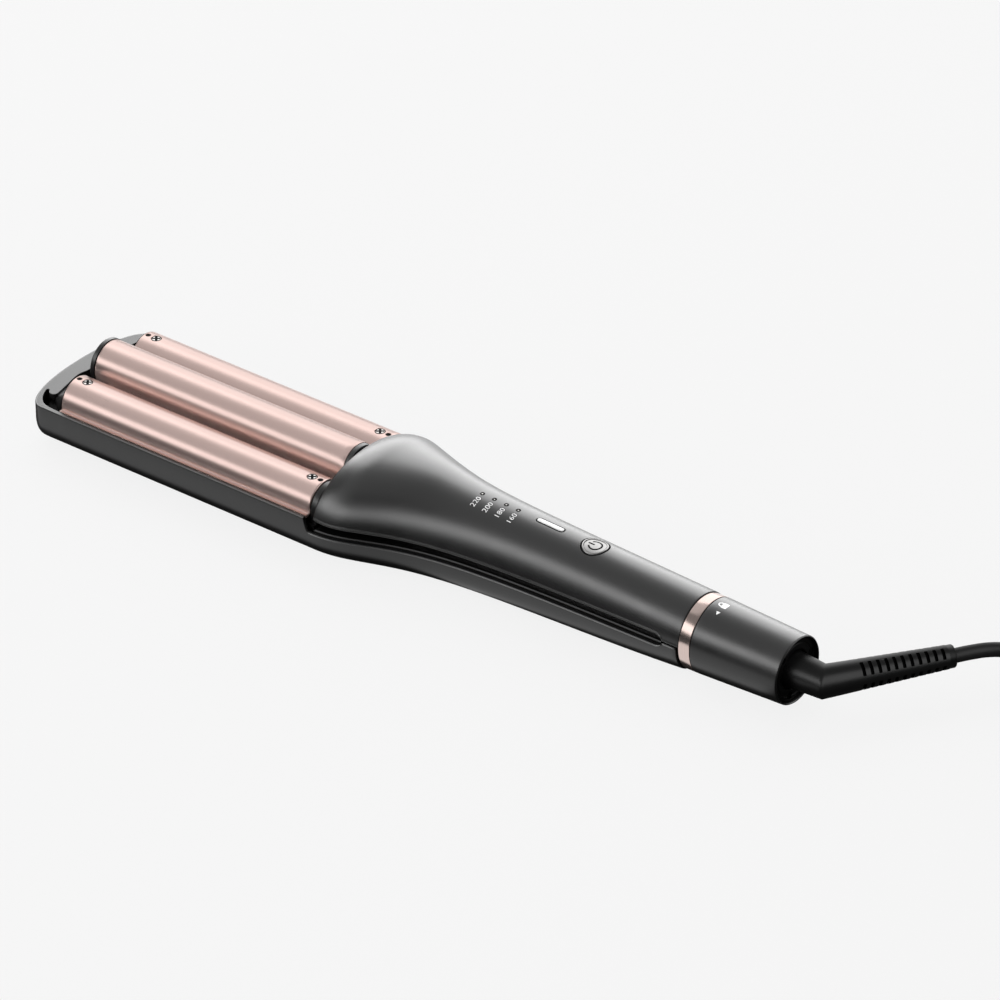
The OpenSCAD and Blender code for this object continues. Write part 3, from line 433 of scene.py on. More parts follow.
def spun_metal():
    """Fine rings about an axis through a point, as left by a lathe or a polishing wheel."""
    tree, given, out = effect("spun_metal", Colour=rgba(0.8), Centre=(0, 0, 0), Across=(1, 1, 0),
                              Along_Lines=0.0, Roughness=0.3, Line_Depth=0.3)
    where = new_node(tree, "TexCoord").outputs["Object"]
    offset = vectors("SUBTRACT", where, given["Centre"])
    spot = new_node(tree, "CombineXYZ")
    feed(spot.inputs["X"], vectors("LENGTH", vectors("MULTIPLY", offset, given["Across"])))
    feed(spot.inputs["Y"], times(split(offset)["X"], given["Along Lines"]))
    lines = noise(spot.outputs[0], 5200.0, 2.0, 0.6)
    haze = noise(where, 90.0, 3.0, 0.5)
    feed(out["Colour"], vectors("SCALE", given["Colour"], add(0.9, times(lines, 0.18))))
    change = add(add(times(lines, 0.08), times(haze, 0.06)), -0.07)
    feed(out["Roughness"], add(given["Roughness"], change))
    feed(out["Height"], times(lines, given["Line Depth"]))
    return tree


MOULDED, DRAWN, SPUN = moulded_surface(), drawn_metal(), spun_metal()

# Finishes -------------------------------------------------------------------------------------

BUMP_HEIGHT = 0.2 * MM


def finish(name, group, bump, metallic, spec=0.5, **given):
    """A material whose colour, roughness and bump come from a group; the rest is constant."""
    mat = bpy.data.materials.new(name)
    mat.use_nodes = True
    shader = mat.node_tree.nodes["Principled BSDF"]
    surface = new_node(mat.node_tree, "Group", node_tree=group)
    for label, value in given.items():
        feed(surface.inputs[label.replace("_", " ")], value)
    relief = new_node(mat.node_tree, "Bump")
    feed(relief.inputs["Strength"], bump)
    feed(relief.inputs["Distance"], BUMP_HEIGHT)
    feed(relief.inputs["Height"], surface.outputs["Height"])
    feed(shader.inputs["Base Color"], surface.outputs["Colour"])
    feed(shader.inputs["Roughness"], surface.outputs["Roughness"])
    feed(shader.inputs["Normal"], relief.outputs["Normal"])
    feed(shader.inputs["Metallic"], metallic)
    feed(shader.inputs["Specular IOR Level"], spec)
    return mat


def moulded(name, colour, rough, rubbed=0.01, grain=2600.0, depth=0.4, wear=0.2, bump=0.12,
            spec=0.5, metallic=0.0):
    return finish(name, MOULDED, bump, metallic, spec, Colour=rgba(colour),
                  Rubbed_Colour=rgba(rubbed), Roughness=rough, Grain_Scale=grain,
                  Grain_Depth=depth, Wear=wear)


def drawn(name, colour, deep, rough, depth, bump):
    return finish(name, DRAWN, bump, 1.0, Colour=rgba(colour), Deep_Colour=rgba(deep),
                  Roughness=rough, Line_Depth=depth)


def spun(name, colour, rough, centre, across, depth, bump, along=0.0, metallic=1.0):
    return finish(name, SPUN, bump, metallic, Colour=rgba(colour), Centre=centre, Across=across,
                  Along_Lines=along, Roughness=rough, Line_Depth=depth)


AXIS = {"centre": (0, 0, AXIS_Z * MM), "across": (0, 1, 1), "along": 1.0}

housing_paint = moulded("housing_paint", 0.0015, 0.32, wear=0.3, spec=0.55)
land_paint = moulded("land_paint", 0.003, 0.42, spec=0.48)
collar_paint = moulded("collar_paint", 0.0015, 0.32, wear=0.25, spec=0.55)
black_moulding = moulded("black_moulding", 0.002, 0.34, grain=1500.0, depth=0.5, wear=0.15,
                         bump=0.15, spec=0.22)
fairing_resin = moulded("fairing_resin", 0.003, 0.34, grain=1800.0, depth=0.5, bump=0.15,
                        spec=0.36)
rose_coating = drawn("rose_coating", (0.66, 0.50, 0.46), (0.62, 0.455, 0.415), 0.3, depth=0.25,
                     bump=0.08)
ring_polish = spun("ring_polish", (0.62, 0.50, 0.46), 0.19, depth=0.3, bump=0.06, **AXIS)
cord_rubber = moulded("cord_rubber", 0.010, 0.46, rubbed=0.03, grain=1400.0, depth=0.5,
                      bump=0.15, spec=0.4)
relief_rubber = moulded("relief_rubber", 0.003, 0.34, grain=1600.0, depth=0.5, wear=0.25,
                        bump=0.15, spec=0.45)
power_face = spun("power_face", (0.47, 0.465, 0.46), 0.32, (X_POWER * MM, 0, 0), (1, 1, 0),
                  depth=0.35, bump=0.1, metallic=0.9)
temp_face = moulded("temp_face", 0.55, 0.38, rubbed=0.5, grain=2400.0, depth=0.3, bump=0.06)
print_white = moulded("print_white", 0.8, 0.5, rubbed=0.7, grain=3000.0, depth=0.2, wear=0.0,
                      bump=0.03)
# A dull black for black parts and print, also put into recesses, slots, pockets and holes as painted
# shade.
pit_black = moulded("pit_black", 0.003, 0.55, grain=3000.0, depth=0.2, wear=0.0, bump=0.03,
                    spec=0.02)
face_plastic = moulded("face_plastic", 0.003, 0.36, rubbed=0.02, grain=2400.0, depth=0.3,
                       wear=0.1, bump=0.05, spec=0.12)
screw_nickel = moulded("screw_nickel", (0.66, 0.63, 0.61), 0.25, rubbed=0.7, grain=3000.0,
                       depth=0.3, wear=0.6, bump=0.08, metallic=1.0)
clear_guide = moulded("clear_guide", (0.6, 0.58, 0.55), 0.22, rubbed=0.7, grain=2400.0,
                      depth=0.3, wear=0.1, bump=0.04)
tie_nylon = moulded("tie_nylon", 0.012, 0.6, rubbed=0.05, grain=1100.0, depth=1.0, wear=0.4,
                    bump=0.3)
plug_metal = spun("plug_metal", (0.66, 0.66, 0.66), 0.25, (PLUG_X * MM, 0, PLUG_T / 2 * MM),
                  (1, 0, 1), depth=0.3, bump=0.08)

bare_aluminium = drawn("bare_aluminium", (0.62, 0.63, 0.65), (0.5, 0.51, 0.53), 0.38, depth=0.5,
                       bump=0.12)
bright_steel = drawn("bright_steel", (0.55, 0.56, 0.58), (0.42, 0.43, 0.45), 0.28, depth=0.4,
                     bump=0.1)
contact_brass = spun("contact_brass", (0.76, 0.54, 0.22), 0.3, depth=0.4, bump=0.1, **AXIS)
heater_ceramic = moulded("heater_ceramic", (0.75, 0.72, 0.64), 0.6, rubbed=(0.5, 0.47, 0.4),
                         grain=900.0, depth=0.8, wear=0.4, bump=0.2)
carrier_resin = moulded("carrier_resin", (0.24, 0.17, 0.09), 0.5, rubbed=(0.32, 0.25, 0.16),
                        grain=800.0, depth=0.8, wear=0.4, bump=0.2)
glass_probe = moulded("glass_probe", (0.55, 0.42, 0.16), 0.25, rubbed=(0.6, 0.5, 0.3),
                      grain=1500.0, depth=0.3, bump=0.1)
board_laminate = moulded("board_laminate", (0.02, 0.11, 0.05), 0.35, rubbed=(0.2, 0.3, 0.18),
                         grain=700.0, depth=0.5, wear=0.3)
switch_plastic = moulded("switch_plastic", 0.05, 0.4, rubbed=0.12, grain=1800.0, depth=0.5,
                         wear=0.3)
lamp_lens = moulded("lamp_lens", (0.8, 0.78, 0.6), 0.2, rubbed=0.8, grain=2400.0, depth=0.2,
                    wear=0.1, bump=0.05)


def finish_inside():
    """Finishes for the CAD solids that stay as they are."""
    carried = {bare_aluminium: ["heat_spreaders", "barrel_core"],
               heater_ceramic: ["lower_heaters", "barrel_heater", "thermal_fuse"],
               carrier_resin: ["heater_carrier", "brush_block"],
               glass_probe: ["lower_thermistor"],
               bright_steel: ["hinge_pin", "opening_spring", "cover_screws"],
               board_laminate: ["control_board"],
               switch_plastic: ["tact_switches"],
               lamp_lens: ["indicator_leds"],
               contact_brass: ["slip_rings"],
               black_moulding: ["barrel_mount", "hinge_bracket", "swivel_bushing"],
               # The rear plate's screws, seen down their holes, take the dull black as painted
               # shade.
               pit_black: ["rear_plate_screws"]}
    for mat, names in carried.items():
        for name in names:
            NODES[name].data.materials.clear()
            NODES[name].data.materials.append(mat)


finish_inside()

# Making meshes --------------------------------------------------------------------------------


def skin(rings, first=None, last=None):
    """Points and faces through a row of rings. first and last close the two ends: flat by one
    face, strip by a band between the ring's two halves."""
    count = len(rings[0])
    points = [p for ring in rings for p in ring]
    faces = [(j * count + i, j * count + (i + 1) % count,
              (j + 1) * count + (i + 1) % count, (j + 1) * count + i)
             for j in range(len(rings) - 1) for i in range(count)]
    for base, how in ((0, first), ((len(rings) - 1) * count, last)):
        if how == "flat":
            faces.append(tuple(range(base, base + count)))
        elif how == "strip":
            faces += [(base + i, base + i + 1, base + count - 2 - i, base + count - 1 - i)
                      for i in range(count // 2 - 1)]
    return points, faces


def solid(rings):
    return skin(rings, first="flat", last="flat")


def both(*shells):
    """Several sets of points and faces as one."""
    points, faces = [], []
    for more_points, more_faces in shells:
        base = len(points)
        points += more_points
        faces += [tuple(i + base for i in face) for face in more_faces]
    return points, faces


def smoothed(mesh, crease):
    """Smooth shading, with a sharp edge where the faces turn by more than crease degrees."""
    mesh.shade_smooth()
    mesh.set_sharp_from_angle(angle=math.radians(crease))


def piece_from(bm, name, crease):
    mesh = bpy.data.meshes.new(name)
    bm.to_mesh(mesh)
    bm.free()
    smoothed(mesh, crease)
    return keep(name, mesh)


def piece_of(name, *shells, crease=32):
    """A smooth-shaded piece from one or more (points, faces) in millimetres."""
    bm = bmesh.new()
    for points, faces in shells:
        made = [bm.verts.new(Vector(p) * MM) for p in points]
        for face in faces:
            corners = [made[i] for i in face]
            if len(set(corners)) > 2 and not bm.faces.get(corners):
                bm.faces.new(corners)
    bmesh.ops.remove_doubles(bm, verts=bm.verts, dist=1e-6)
    bmesh.ops.dissolve_degenerate(bm, edges=bm.edges, dist=1e-6)
    bmesh.ops.recalc_face_normals(bm, faces=bm.faces)
    return piece_from(bm, name, crease)


def dress(piece, body, slot, finish_of, *stands_for):
    """Puts a piece on its body, gives it its finish, and hides what it stands for. Its slot is not
    used.
    """
    piece.data.materials.clear()
    piece.data.materials.append(finish_of)
    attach(piece, body)
    if stands_for:
        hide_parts(*stands_for)
    return piece


def cutter(*shells):
    return piece_of("cutter", *shells)


def take_out(piece, cutters, crease=32):
    """Cuts the cutters out of a piece, and removes them."""
    for tool in cutters:
        cut = piece.modifiers.new("cut", "BOOLEAN")
        cut.operation = "DIFFERENCE"
        cut.solver = "EXACT"
        cut.object = tool
    graph = bpy.context.evaluated_depsgraph_get()
    mesh = bpy.data.meshes.new_from_object(piece.evaluated_get(graph))
    piece.modifiers.clear()
    old = piece.data
    piece.data = mesh
    bpy.data.meshes.remove(old)
    smoothed(mesh, crease)
    for tool in cutters:
        bpy.data.objects.remove(tool)


def circle(r, steps):
    """Points round a circle about the origin."""
    angles = [2 * math.pi * i / steps for i in range(steps)]
    return [(r * math.cos(a), r * math.sin(a)) for a in angles]


def arc(cx, cy, r, start, end, steps):
    """Points on an arc, angles in degrees."""
    angles = [math.radians(start + (end - start) * i / steps) for i in range(steps + 1)]
    return [(cx + r * math.cos(a), cy + r * math.sin(a)) for a in angles]


def rotated(angle, u, v):
    """A flat point turned about the origin."""
    c, s = math.cos(angle), math.sin(angle)
    return (c * u - s * v, s * u + c * v)


def swelled(a, w, h, power):
    """A point of a superellipse about the origin."""
    c, s = math.cos(a), math.sin(a)
    return (math.copysign(w * abs(c) ** (2 / power), c), math.copysign(h * abs(s) ** (2 / power), s))


def mirrored(points):
    """The points on the tool's other side."""
    return [(x, -y, z) for x, y, z in points]


def symmetric(x, side):
    """A section at x from its right-hand half, given as (y, z)."""
    return [(x, y, z) for y, z in side] + [(x, -y, z) for y, z in reversed(side)]


def eased(outline, radius, steps=4):
    """An open outline with its inner corners rounded; a corner may give its own radius as a
    third number."""
    result = [outline[0][:2]]
    for before, corner, after in zip(outline, outline[1:], outline[2:]):
        r = corner[2] if len(corner) > 2 else radius
        here = Vector(corner[:2])
        to_a, to_b = Vector(before[:2]) - here, Vector(after[:2]) - here
        turn = to_a.angle(to_b)
        if r <= 0 or turn > math.pi - 0.02:
            result.append(tuple(here))
            continue
        reach = min(r / math.tan(turn / 2), to_a.length * 0.49, to_b.length * 0.49)
        start, end = here + to_a.normalized() * reach, here + to_b.normalized() * reach
        for i in range(steps + 1):
            t = i / steps
            result.append(tuple(start * (1 - t) ** 2 + here * 2 * t * (1 - t) + end * t * t))
    result.append(outline[-1][:2])
    return result


def smooth_line(points, steps=5):
    """A smooth open line through the points (Catmull-Rom)."""
    ends = [points[0]] + list(points) + [points[-1]]
    line = []
    for a, b, c, d in zip(ends, ends[1:], ends[2:], ends[3:]):
        for i in range(steps):
            t = i / steps
            line.append(tuple(0.5 * (2 * q + (r - p) * t + (2 * p - 5 * q + 4 * r - s) * t * t
                                     + (3 * q - p - 3 * r + s) * t ** 3)
                              for p, q, r, s in zip(a, b, c, d)))
    line.append(tuple(points[-1]))
    return line


def from_tip(*points):
    """A smooth plan line; a point is its distance from the tip and its distance from the axis."""
    return smooth_line([(X_TIP + d, y) for d, y in points])


def resampled(line, count):
    """Evenly spaced points along a line."""
    lengths = [0]
    for a, b in zip(line, line[1:]):
        lengths.append(lengths[-1] + math.dist(a, b))
    result, j = [], 0
    for i in range(count):
        want = lengths[-1] * i / (count - 1)
        while j < len(line) - 2 and lengths[j + 1] < want:
            j += 1
        t = (want - lengths[j]) / max(1e-9, lengths[j + 1] - lengths[j])
        result.append(tuple(a + (b - a) * t for a, b in zip(line[j], line[j + 1])))
    return result


def turned(profile, y=0.0, z=AXIS_Z, steps=96):
    """A profile of (x, radius) turned about an axis along X through y, z."""
    return skin([[(x, y + u, z + v) for u, v in circle(r, steps)] for x, r in profile])


def stood(profile, x, y=0.0, steps=64, foot=0.0):
    """A profile of (height above foot, radius) turned about an upright axis through x, y."""
    return skin([[(x + u, y + v, foot + z) for u, v in circle(r, steps)] for z, r in profile])


def block(x0, x1, y0, y1, z0, z1):
    corners = [(x0, y0), (x1, y0), (x1, y1), (x0, y1)]
    return solid([[(x, y, z) for x, y in corners] for z in (z0, z1)])


# Lower arm ------------------------------------------------------------------------------------

LIP_R, LIP_BACK_R = 0.55, 0.3
LIP_CHAMFER = [(0, -LIP_R), (0.03, -0.46), (0.3, -0.04), (0.36, -0.01), (0.5, 0)]
SOLE_DEPTH = 1.008  # of the underside's curve, over the depth at which its flat cuts it off
LUG_Y0, LUG_Y1 = 5.8, 7.6
UNDER_STEPS = 40


def side_normal(x):
    """Plan direction, as (x, y), that points out of the right-hand side of the outline."""
    if x - X_TIP < 0.01:
        return (-1.0, 0.0)
    before, after = max(X_TIP, x - 0.02), x + 0.02
    slope = (half_width(after) - half_width(before)) / (after - before)
    size = math.hypot(1, slope)
    return (-slope / size, 1 / size)


def under_half(x, z):
    """Half width of the underside at height z."""
    if z >= AXIS_Z:
        return half_width(x)
    n = under_power(x)
    drop = (AXIS_Z - z) / max(under_depth(x), 1e-4)
    return half_width(x) * max(0, 1 - drop ** n) ** (1 / n)


def lower_section(x):
    """One closed section of the lower arm: outside, right lip, inside and left lip."""
    top = lower_edge(x)
    w, h, n = half_width(x), under_depth(x), under_power(x)
    nx, ny = side_normal(x)
    drop = (AXIS_Z - min(AXIS_Z, top - LIP_R)) / max(h, 1e-4)
    a0 = math.asin(clamped(drop ** (n / 2))) if h > 0.01 else 0.0
    outer = []
    for i in range(UNDER_STEPS + 1):
        y, depth = swelled(a0 + (math.pi - 2 * a0) * i / UNDER_STEPS, w, SOLE_DEPTH, n)
        outer.append((x, y, AXIS_Z - h * min(1, abs(depth))))
    edge_y = outer[0][1]
    broken = 0.5 if x < X_STEP else 1.25
    lip = [(inward * broken, up * broken) for inward, up in LIP_CHAMFER]
    lip += arc(WALL - LIP_BACK_R, -LIP_BACK_R, LIP_BACK_R, 90, 0, 4)
    lip = [(x - nx * inward, max(0, edge_y - ny * inward), top + up) for inward, up in lip]
    deep = max(FLOOR_Z, AXIS_Z - h + min(WALL, max(0.25, h)))
    low = min(top - 1, deep + 3)
    inside = [(edge_y - ny * WALL, max(deep, top - 3.5)),
              (under_half(x, low) - ny * (WALL + 0.4), low),
              (under_half(x, deep + 3) - ny * (WALL + 4), deep)]
    inside = [(x - nx * WALL, max(0, y), z) for y, z in inside]
    knee = [(x, edge_y, top - LIP_R)]
    return knee + outer + mirrored(knee + lip[1:] + inside) + inside[::-1] + lip[:0:-1]


def make_lower_shell():
    """The lower housing, its rear end rounded and notched for the hinge bracket."""
    reach, draw = 0.8, 0.9
    end = X_LOWER1 - reach
    xs = tip_stations(22) + stations((X_TIP + 14, X_STEP, 40), (X_STEP, X_STEP + 4, 16),
                                     (X_STEP + 5, X_SLOT1 - 3, 60),
                                     (X_SLOT1 - 2.2, X_SLOT1 + 1.2, 14), (X_SLOT1 + 2, end, 4))
    rings = [lower_section(x) for x in sorted(set(xs))]
    for inset in (0.25, 0.6, draw):
        x = end + reach * math.sin(math.acos(1 - inset / draw))
        rings.append([(x, y * (1 - inset / RING_R), z + (AXIS_Z - 4 - z) * inset / 9)
                      for _, y, z in lower_section(end)])
    shell = piece_of("lower_shell", skin(rings, last="flat"))
    take_out(shell, [cutter(block(X_HINGE - 1, X_LOWER1 + 2, -LUG_Y0, LUG_Y0, FLOOR_Z, RIM_Z))])
    return dress(shell, "lower_arm", "housing", housing_paint, "lower_housing")


def make_tip_land():
    """Flat land behind the tip rim: a pocket and a rounded lobe in front of one half barrel,
    closed up to the other."""
    inner, depth = 0.5, 5
    rim = []
    for x in tip_stations(48):
        nx, ny = side_normal(x)
        rim.append((x - nx * inner, half_width(x) - ny * inner))
    rim += [(X_TIP + 14, TRAY_HALF - inner), (X_PLATE0 + 4, TRAY_HALF - inner)]
    side = (24, TRAY_HALF - WALL - 0.05)
    middle = [(8, 8), (8.8, 3), (9, 0)]
    pocket = from_tip(side, (19.5, 35.15), (16, 34.9), (12, 34), (8.8, 31.6), (6.6, 28.4),
                      (5.2, 24.9), (5.6, 24), (6.4, 24.3), (7.2, 25.7), (9, 26.4), (10.6, 25.6),
                      (10.8, 23.4), (9.6, 17), *middle)
    closed = from_tip(side, (19, 34.9), (14.5, 33.4), (11.6, 30.2), (10.4, 26.5), (10.2, 22),
                      (9.4, 16), *middle)
    outline_in = [(x, -y) for x, y in pocket] + closed[-2::-1]
    outline_out = [(x, -y) for x, y in reversed(rim)] + rim[1:]
    loop = resampled(outline_out, 150) + resampled(outline_in, 170)[::-1]
    top = RIM_Z + 0.02
    bm = bmesh.new()
    face = bm.faces.new([bm.verts.new(Vector((x, y, top)) * MM) for x, y in loop])
    made = bmesh.ops.extrude_face_region(bm, geom=[face])
    low = [v for v in made["geom"] if isinstance(v, bmesh.types.BMVert)]
    bmesh.ops.translate(bm, verts=low, vec=Vector((0, 0, -depth)) * MM)
    bmesh.ops.recalc_face_normals(bm, faces=bm.faces)
    edges = [e for e in bm.edges
             if all(abs(v.co.z - top * MM) < 1e-7 for v in e.verts) and len(e.link_faces) == 2
             and abs(e.link_faces[0].normal.z) + abs(e.link_faces[1].normal.z) < 1.5]
    bmesh.ops.bevel(bm, geom=edges, offset=0.25 * MM, segments=3, profile=0.5, affect="EDGES")
    bmesh.ops.triangulate(bm, faces=[f for f in bm.faces if len(f.verts) > 4])
    land = piece_from(bm, "tip_land", 12)
    return dress(land, "lower_arm", "housing", land_paint, "lower_housing")


def plate_outline():
    """The formed sheet's upper face from one side flange to the other, in the YZ plane."""
    r = BARREL_R
    side = [(HUMP_Y + r + FLANGE_W, FLANGE_Z), (HUMP_Y + r + 0.4, FLANGE_Z),
            (HUMP_Y + r, FLANGE_Z + 0.3)]
    side += arc(HUMP_Y, HUMP_Z, r, 0, 180, 44)
    side += [(HUMP_Y - r, VALLEY_Z + 1.2)]
    side += arc(HUMP_Y - r - 1.0, VALLEY_Z + 1.0, 1.0, 0, -90, 4)
    return side + [(-y, z) for y, z in reversed(side)]


def sheet_ring(x, outline, ease):
    """A section of the formed sheet: the upper face, then the lower face back. ease draws the
    faces together, for a rounded end."""
    upper, lower = [], []
    for i, (y, z) in enumerate(outline):
        a, b = outline[max(0, i - 1)], outline[min(len(outline) - 1, i + 1)]
        size = math.dist(a, b)
        ny, nz = (b[1] - a[1]) / size, (a[0] - b[0]) / size
        upper.append((x, y - ny * ease, z - nz * ease))
        lower.append((x, y - ny * (PLATE_T - ease), z - nz * (PLATE_T - ease)))
    return upper + lower[::-1]


SCREW_R = 1.9
PIN_R = 1.15
CROSS_TURN = math.radians(38)
CROSS_REACH, CROSS_HALF = 1.75, 0.58
X_SCREWS = (X_PLATE0 + 6.4, X_PLATE1 - 6.4)
X_PINS = (X_PLATE0 + 2, X_PLATE1 - 2)


def make_wave_plate():
    """The formed sheet, with round holes for its screws and pins."""
    outline = plate_outline()
    ends = [(0.0, 0.55), (0.1, 0.3), (0.28, 0.12), (0.55, 0.0)]
    length = X_PLATE1 - X_PLATE0
    rows = ends + [(1 + (length - 2) * i / 60, 0) for i in range(61)]
    rows += [(length - a, ease) for a, ease in reversed(ends)]
    rings = [sheet_ring(X_PLATE0 + a, outline, ease) for a, ease in rows]
    plate = piece_of("rose_wave_plate", skin(rings, first="strip", last="strip"))
    screw_hole = [(-4, 0), (-4, 2.3), (-0.25, 2.3), (0.3, 2.7), (3, 2.65), (3, 0)]
    pin_hole = [(-4, 0), (-4, 1.2), (-0.12, 1.2), (0.2, 1.4), (3, 1.4), (3, 0)]
    take_out(plate, [cutter(stood(hole, x, y, foot=CREST_Z)) for y in (-HUMP_Y, HUMP_Y)
                     for hole, xs in ((screw_hole, X_SCREWS), (pin_hole, X_PINS)) for x in xs])
    return dress(plate, "lower_arm", "rose_metal", rose_coating, "wave_plate")


def screw_cross(x, y, head):
    """Cutter for the cross in a screw's head."""
    arm = ((CROSS_REACH, CROSS_HALF), (CROSS_HALF, CROSS_HALF), (CROSS_HALF, CROSS_REACH))
    outline = [rotated(CROSS_TURN + quarter * math.pi / 2, u, v) for quarter in range(4)
               for u, v in arm]
    return cutter(solid([[(x + u, y + v, z) for u, v in outline] for z in (head - 0.4, head + 1)]))


def make_plate_screws():
    """Cross-head screws sunk in the half barrels; painted shade fills their crosses and rings their
    heads.
    """
    head = CREST_Z - 0.2
    rim = eased([(-6.8, 0), (-6.8, 1.1), (-6.4, 1.25), (-0.9, 1.25), (-0.75, SCREW_R),
                 (-0.1, SCREW_R), (0.08, SCREW_R - 0.3), (0.16, 0)], 0.05)
    # disc fills the cross and collar fills the gap round the head: both are painted shade.
    disc = [(-0.75, 0), (-0.75, SCREW_R - 0.15), (-0.05, SCREW_R - 0.25), (-0.05, 0)]
    collar = [(-1.2, SCREW_R + 0.02), (-1.2, 2.27), (-0.1, 2.27), (-0.1, SCREW_R + 0.02),
              (-1.2, SCREW_R + 0.02)]
    places = [(x, y) for x in X_SCREWS for y in (-HUMP_Y, HUMP_Y)]
    screws = piece_of("cross_head_screws", *[stood(rim, x, y, 48, head) for x, y in places])
    take_out(screws, [screw_cross(x, y, head) for x, y in places])
    recess_shade = []
    for x, y in places:
        recess_shade += [stood(disc, x, y, 32, head), stood(collar, x, y, 48, head)]
    dress(piece_of("screw_recess_shade", *recess_shade), "lower_arm", "black_steel", pit_black,
          "plate_screws")
    return dress(screws, "lower_arm", "black_steel", screw_nickel, "plate_screws")


def make_plate_pins():
    pin = eased([(-5, 0), (-5, PIN_R), (-0.3, PIN_R, 0.2), (-0.22, 0)], 0.1)
    pins = [stood(pin, x, y, 32, CREST_Z) for x in X_PINS for y in (-HUMP_Y, HUMP_Y)]
    return dress(piece_of("locating_pins", *pins), "lower_arm", "black_steel", pit_black,
                 "plate_pins")


def tip_arch(side):
    """Hollow curve from a half barrel's end down to the land. Its sections run from the outer
    side over the top to the inner side."""
    r, foot = 9.95, 7.0
    rings = []
    for j in range(21):
        u = j / 20
        ring = []
        for i in range(41):
            across, up = math.cos(math.pi * i / 40), math.sin(math.pi * i / 40)
            start = (X_TIP + 9.8 + across, HUMP_Y + (3.4 if across > 0 else 9.0) * across,
                     RIM_Z - 0.85 - 3.5 * max(0, across) ** 4)
            end = (X_PLATE0 - 0.1, HUMP_Y + r * across, HUMP_Z + r * up)
            x, y, z = (a + (b - a) * share for a, b, share in
                       zip(start, end, (u, 0.55 * u + 0.45 * u ** 0.5, u ** 2.3)))
            ring.append((x, side * y, z))
        ring += [(ring[-1][0], ring[-1][1], foot), (ring[0][0], ring[0][1], foot)]
        rings.append(ring)
    return solid(rings)


def tip_foot(side):
    """Black floor of the pocket in front of a half barrel, with a rounded upper edge."""
    middle = (X_TIP + 15.5, 28.0)
    line = from_tip((19.9, 34.2), (18, 33.9), (14.5, 33.2), (11.5, 31.4), (9.3, 28.6), (8.8, 26.6),
                    (9.4, 24), (12, 22), (16, 21), (19.9, 21))
    rings = []
    for z, inset in ((7.0, 0.0), (RIM_Z - 4.2, 0.0), (RIM_Z - 3.6, 0.18), (RIM_Z - 3.2, 0.6),
                     (RIM_Z - 3.05, 1.1)):
        ring = []
        for x, y in line:
            share = max(0.1, 1 - inset / math.dist((x, y), middle))
            u, v = (m + (p - m) * share for m, p in zip(middle, (x, y)))
            ring.append((max(u, x) if x > X_TIP + 19.8 else u, side * v, z))
        rings.append(ring)
    return solid(rings)


def make_tip_fairings():
    """Black mouldings in front of the half barrels and under the middle barrel's tip."""
    # The pocket floors get the dull black rather than the moulding's own finish: painted shade in
    # the pockets.
    feet = piece_of("tip_fairing_feet", *[tip_foot(side) for side in SIDES], crease=40)
    dress(feet, "lower_arm", "fairing", pit_black, "plate_tip_block")
    middle = block(X_LAND1 + 1.5, X_PLATE0 - 0.1, -HUMP_Y, HUMP_Y, 7, VALLEY_Z)
    arches = piece_of("tip_fairings", *[tip_arch(side) for side in SIDES], middle, crease=40)
    return dress(arches, "lower_arm", "fairing", fairing_resin, "plate_tip_block")


def make_rear_fairings():
    """Black half-round mouldings between the half barrels and the handle."""
    x0, x1 = X_PLATE1 + 0.1, X_NOSE - RUN_GAP
    profile = eased([(x0, 9.0), (x0, 9.55), (x0 + 0.5, 9.75), (x1 - 0.4, 9.5), (x1, 9.2),
                     (x1, 8.9)], 0.3, 3)
    shells = []
    for side in SIDES:
        rings = []
        for x, r in profile:
            ring = [(x, side * HUMP_Y + y, z) for y, z in arc(0, HUMP_Z, r, 0, 180, 40)]
            ring += [(x, ring[-1][1], VALLEY_Z - 2), (x, ring[0][1], VALLEY_Z - 2)]
            rings.append(ring)
        shells.append(solid(rings))
    w = TRAY_HALF - WALL - 1.5
    shells.append(block(x0, x1, -w, w, LIP_Z - 4, VALLEY_Z + 1.5))
    shells.append(block(x0, x1, -18, 18, FLOOR_Z + 0.4, LIP_Z - 3.5))
    return dress(piece_of("rear_fairings", *shells), "lower_arm", "fairing", fairing_resin,
                 "plate_rear_block")


def hinge_lug(side, z1):
    """Plate that carries the hinge pin, its end rounded about the pin's axis."""
    plan = ([(X_SLOT1 - 5.3, HINGE_Z - 2.4)] + arc(X_HINGE, HINGE_Z, 2.4, -90, 60, 10)
            + [(X_SLOT1 - 0.8, z1), (X_SLOT1 - 5.3, z1)])
    return solid([[(x, side * y, z) for x, z in plan] for y in (LUG_Y0, LUG_Y1)])


def make_lower_cover():
    """Black cover that closes the lower arm inside the slot, with its posts and hinge lugs."""
    z1 = LIP_Z + 1.2
    z0 = z1 - 2
    rings = []
    for x in stations((X_NOSE + 0.6, X_NOSE + 1.4, 3), (X_NOSE + 2, X_SLOT1 - 1, 60)):
        w = under_half(x, z0) - WALL - SEAT_GAP
        top = z1 if x > X_NOSE + 1.5 else z1 - 0.4 * (1 - (x - X_NOSE - 0.6) / 0.9)
        rings.append(symmetric(x, eased([(w, z0), (w, top - 0.5), (w - 0.33, top), (w - 2, top)],
                                        0.08, 2)))
    post = eased([(FLOOR_Z + 0.1, 0), (FLOOR_Z + 0.1, 3), (z0 + 0.2, 3), (z0 + 0.2, 0)], 0.2)
    posts = [stood(post, X_NOSE + 12.6 + i * (X_SLOT1 - X_NOSE) / 3.4) for i in range(3)]
    cover = piece_of("lower_slot_cover", solid(rings), *posts,
                     *[hinge_lug(side, z0 + 0.6) for side in SIDES])
    return dress(cover, "lower_arm", "inner_plastic", black_moulding, "lower_cover")


make_lower_shell()
make_tip_land()
make_wave_plate()
make_plate_screws()
make_plate_pins()
make_tip_fairings()
make_rear_fairings()
make_lower_cover()

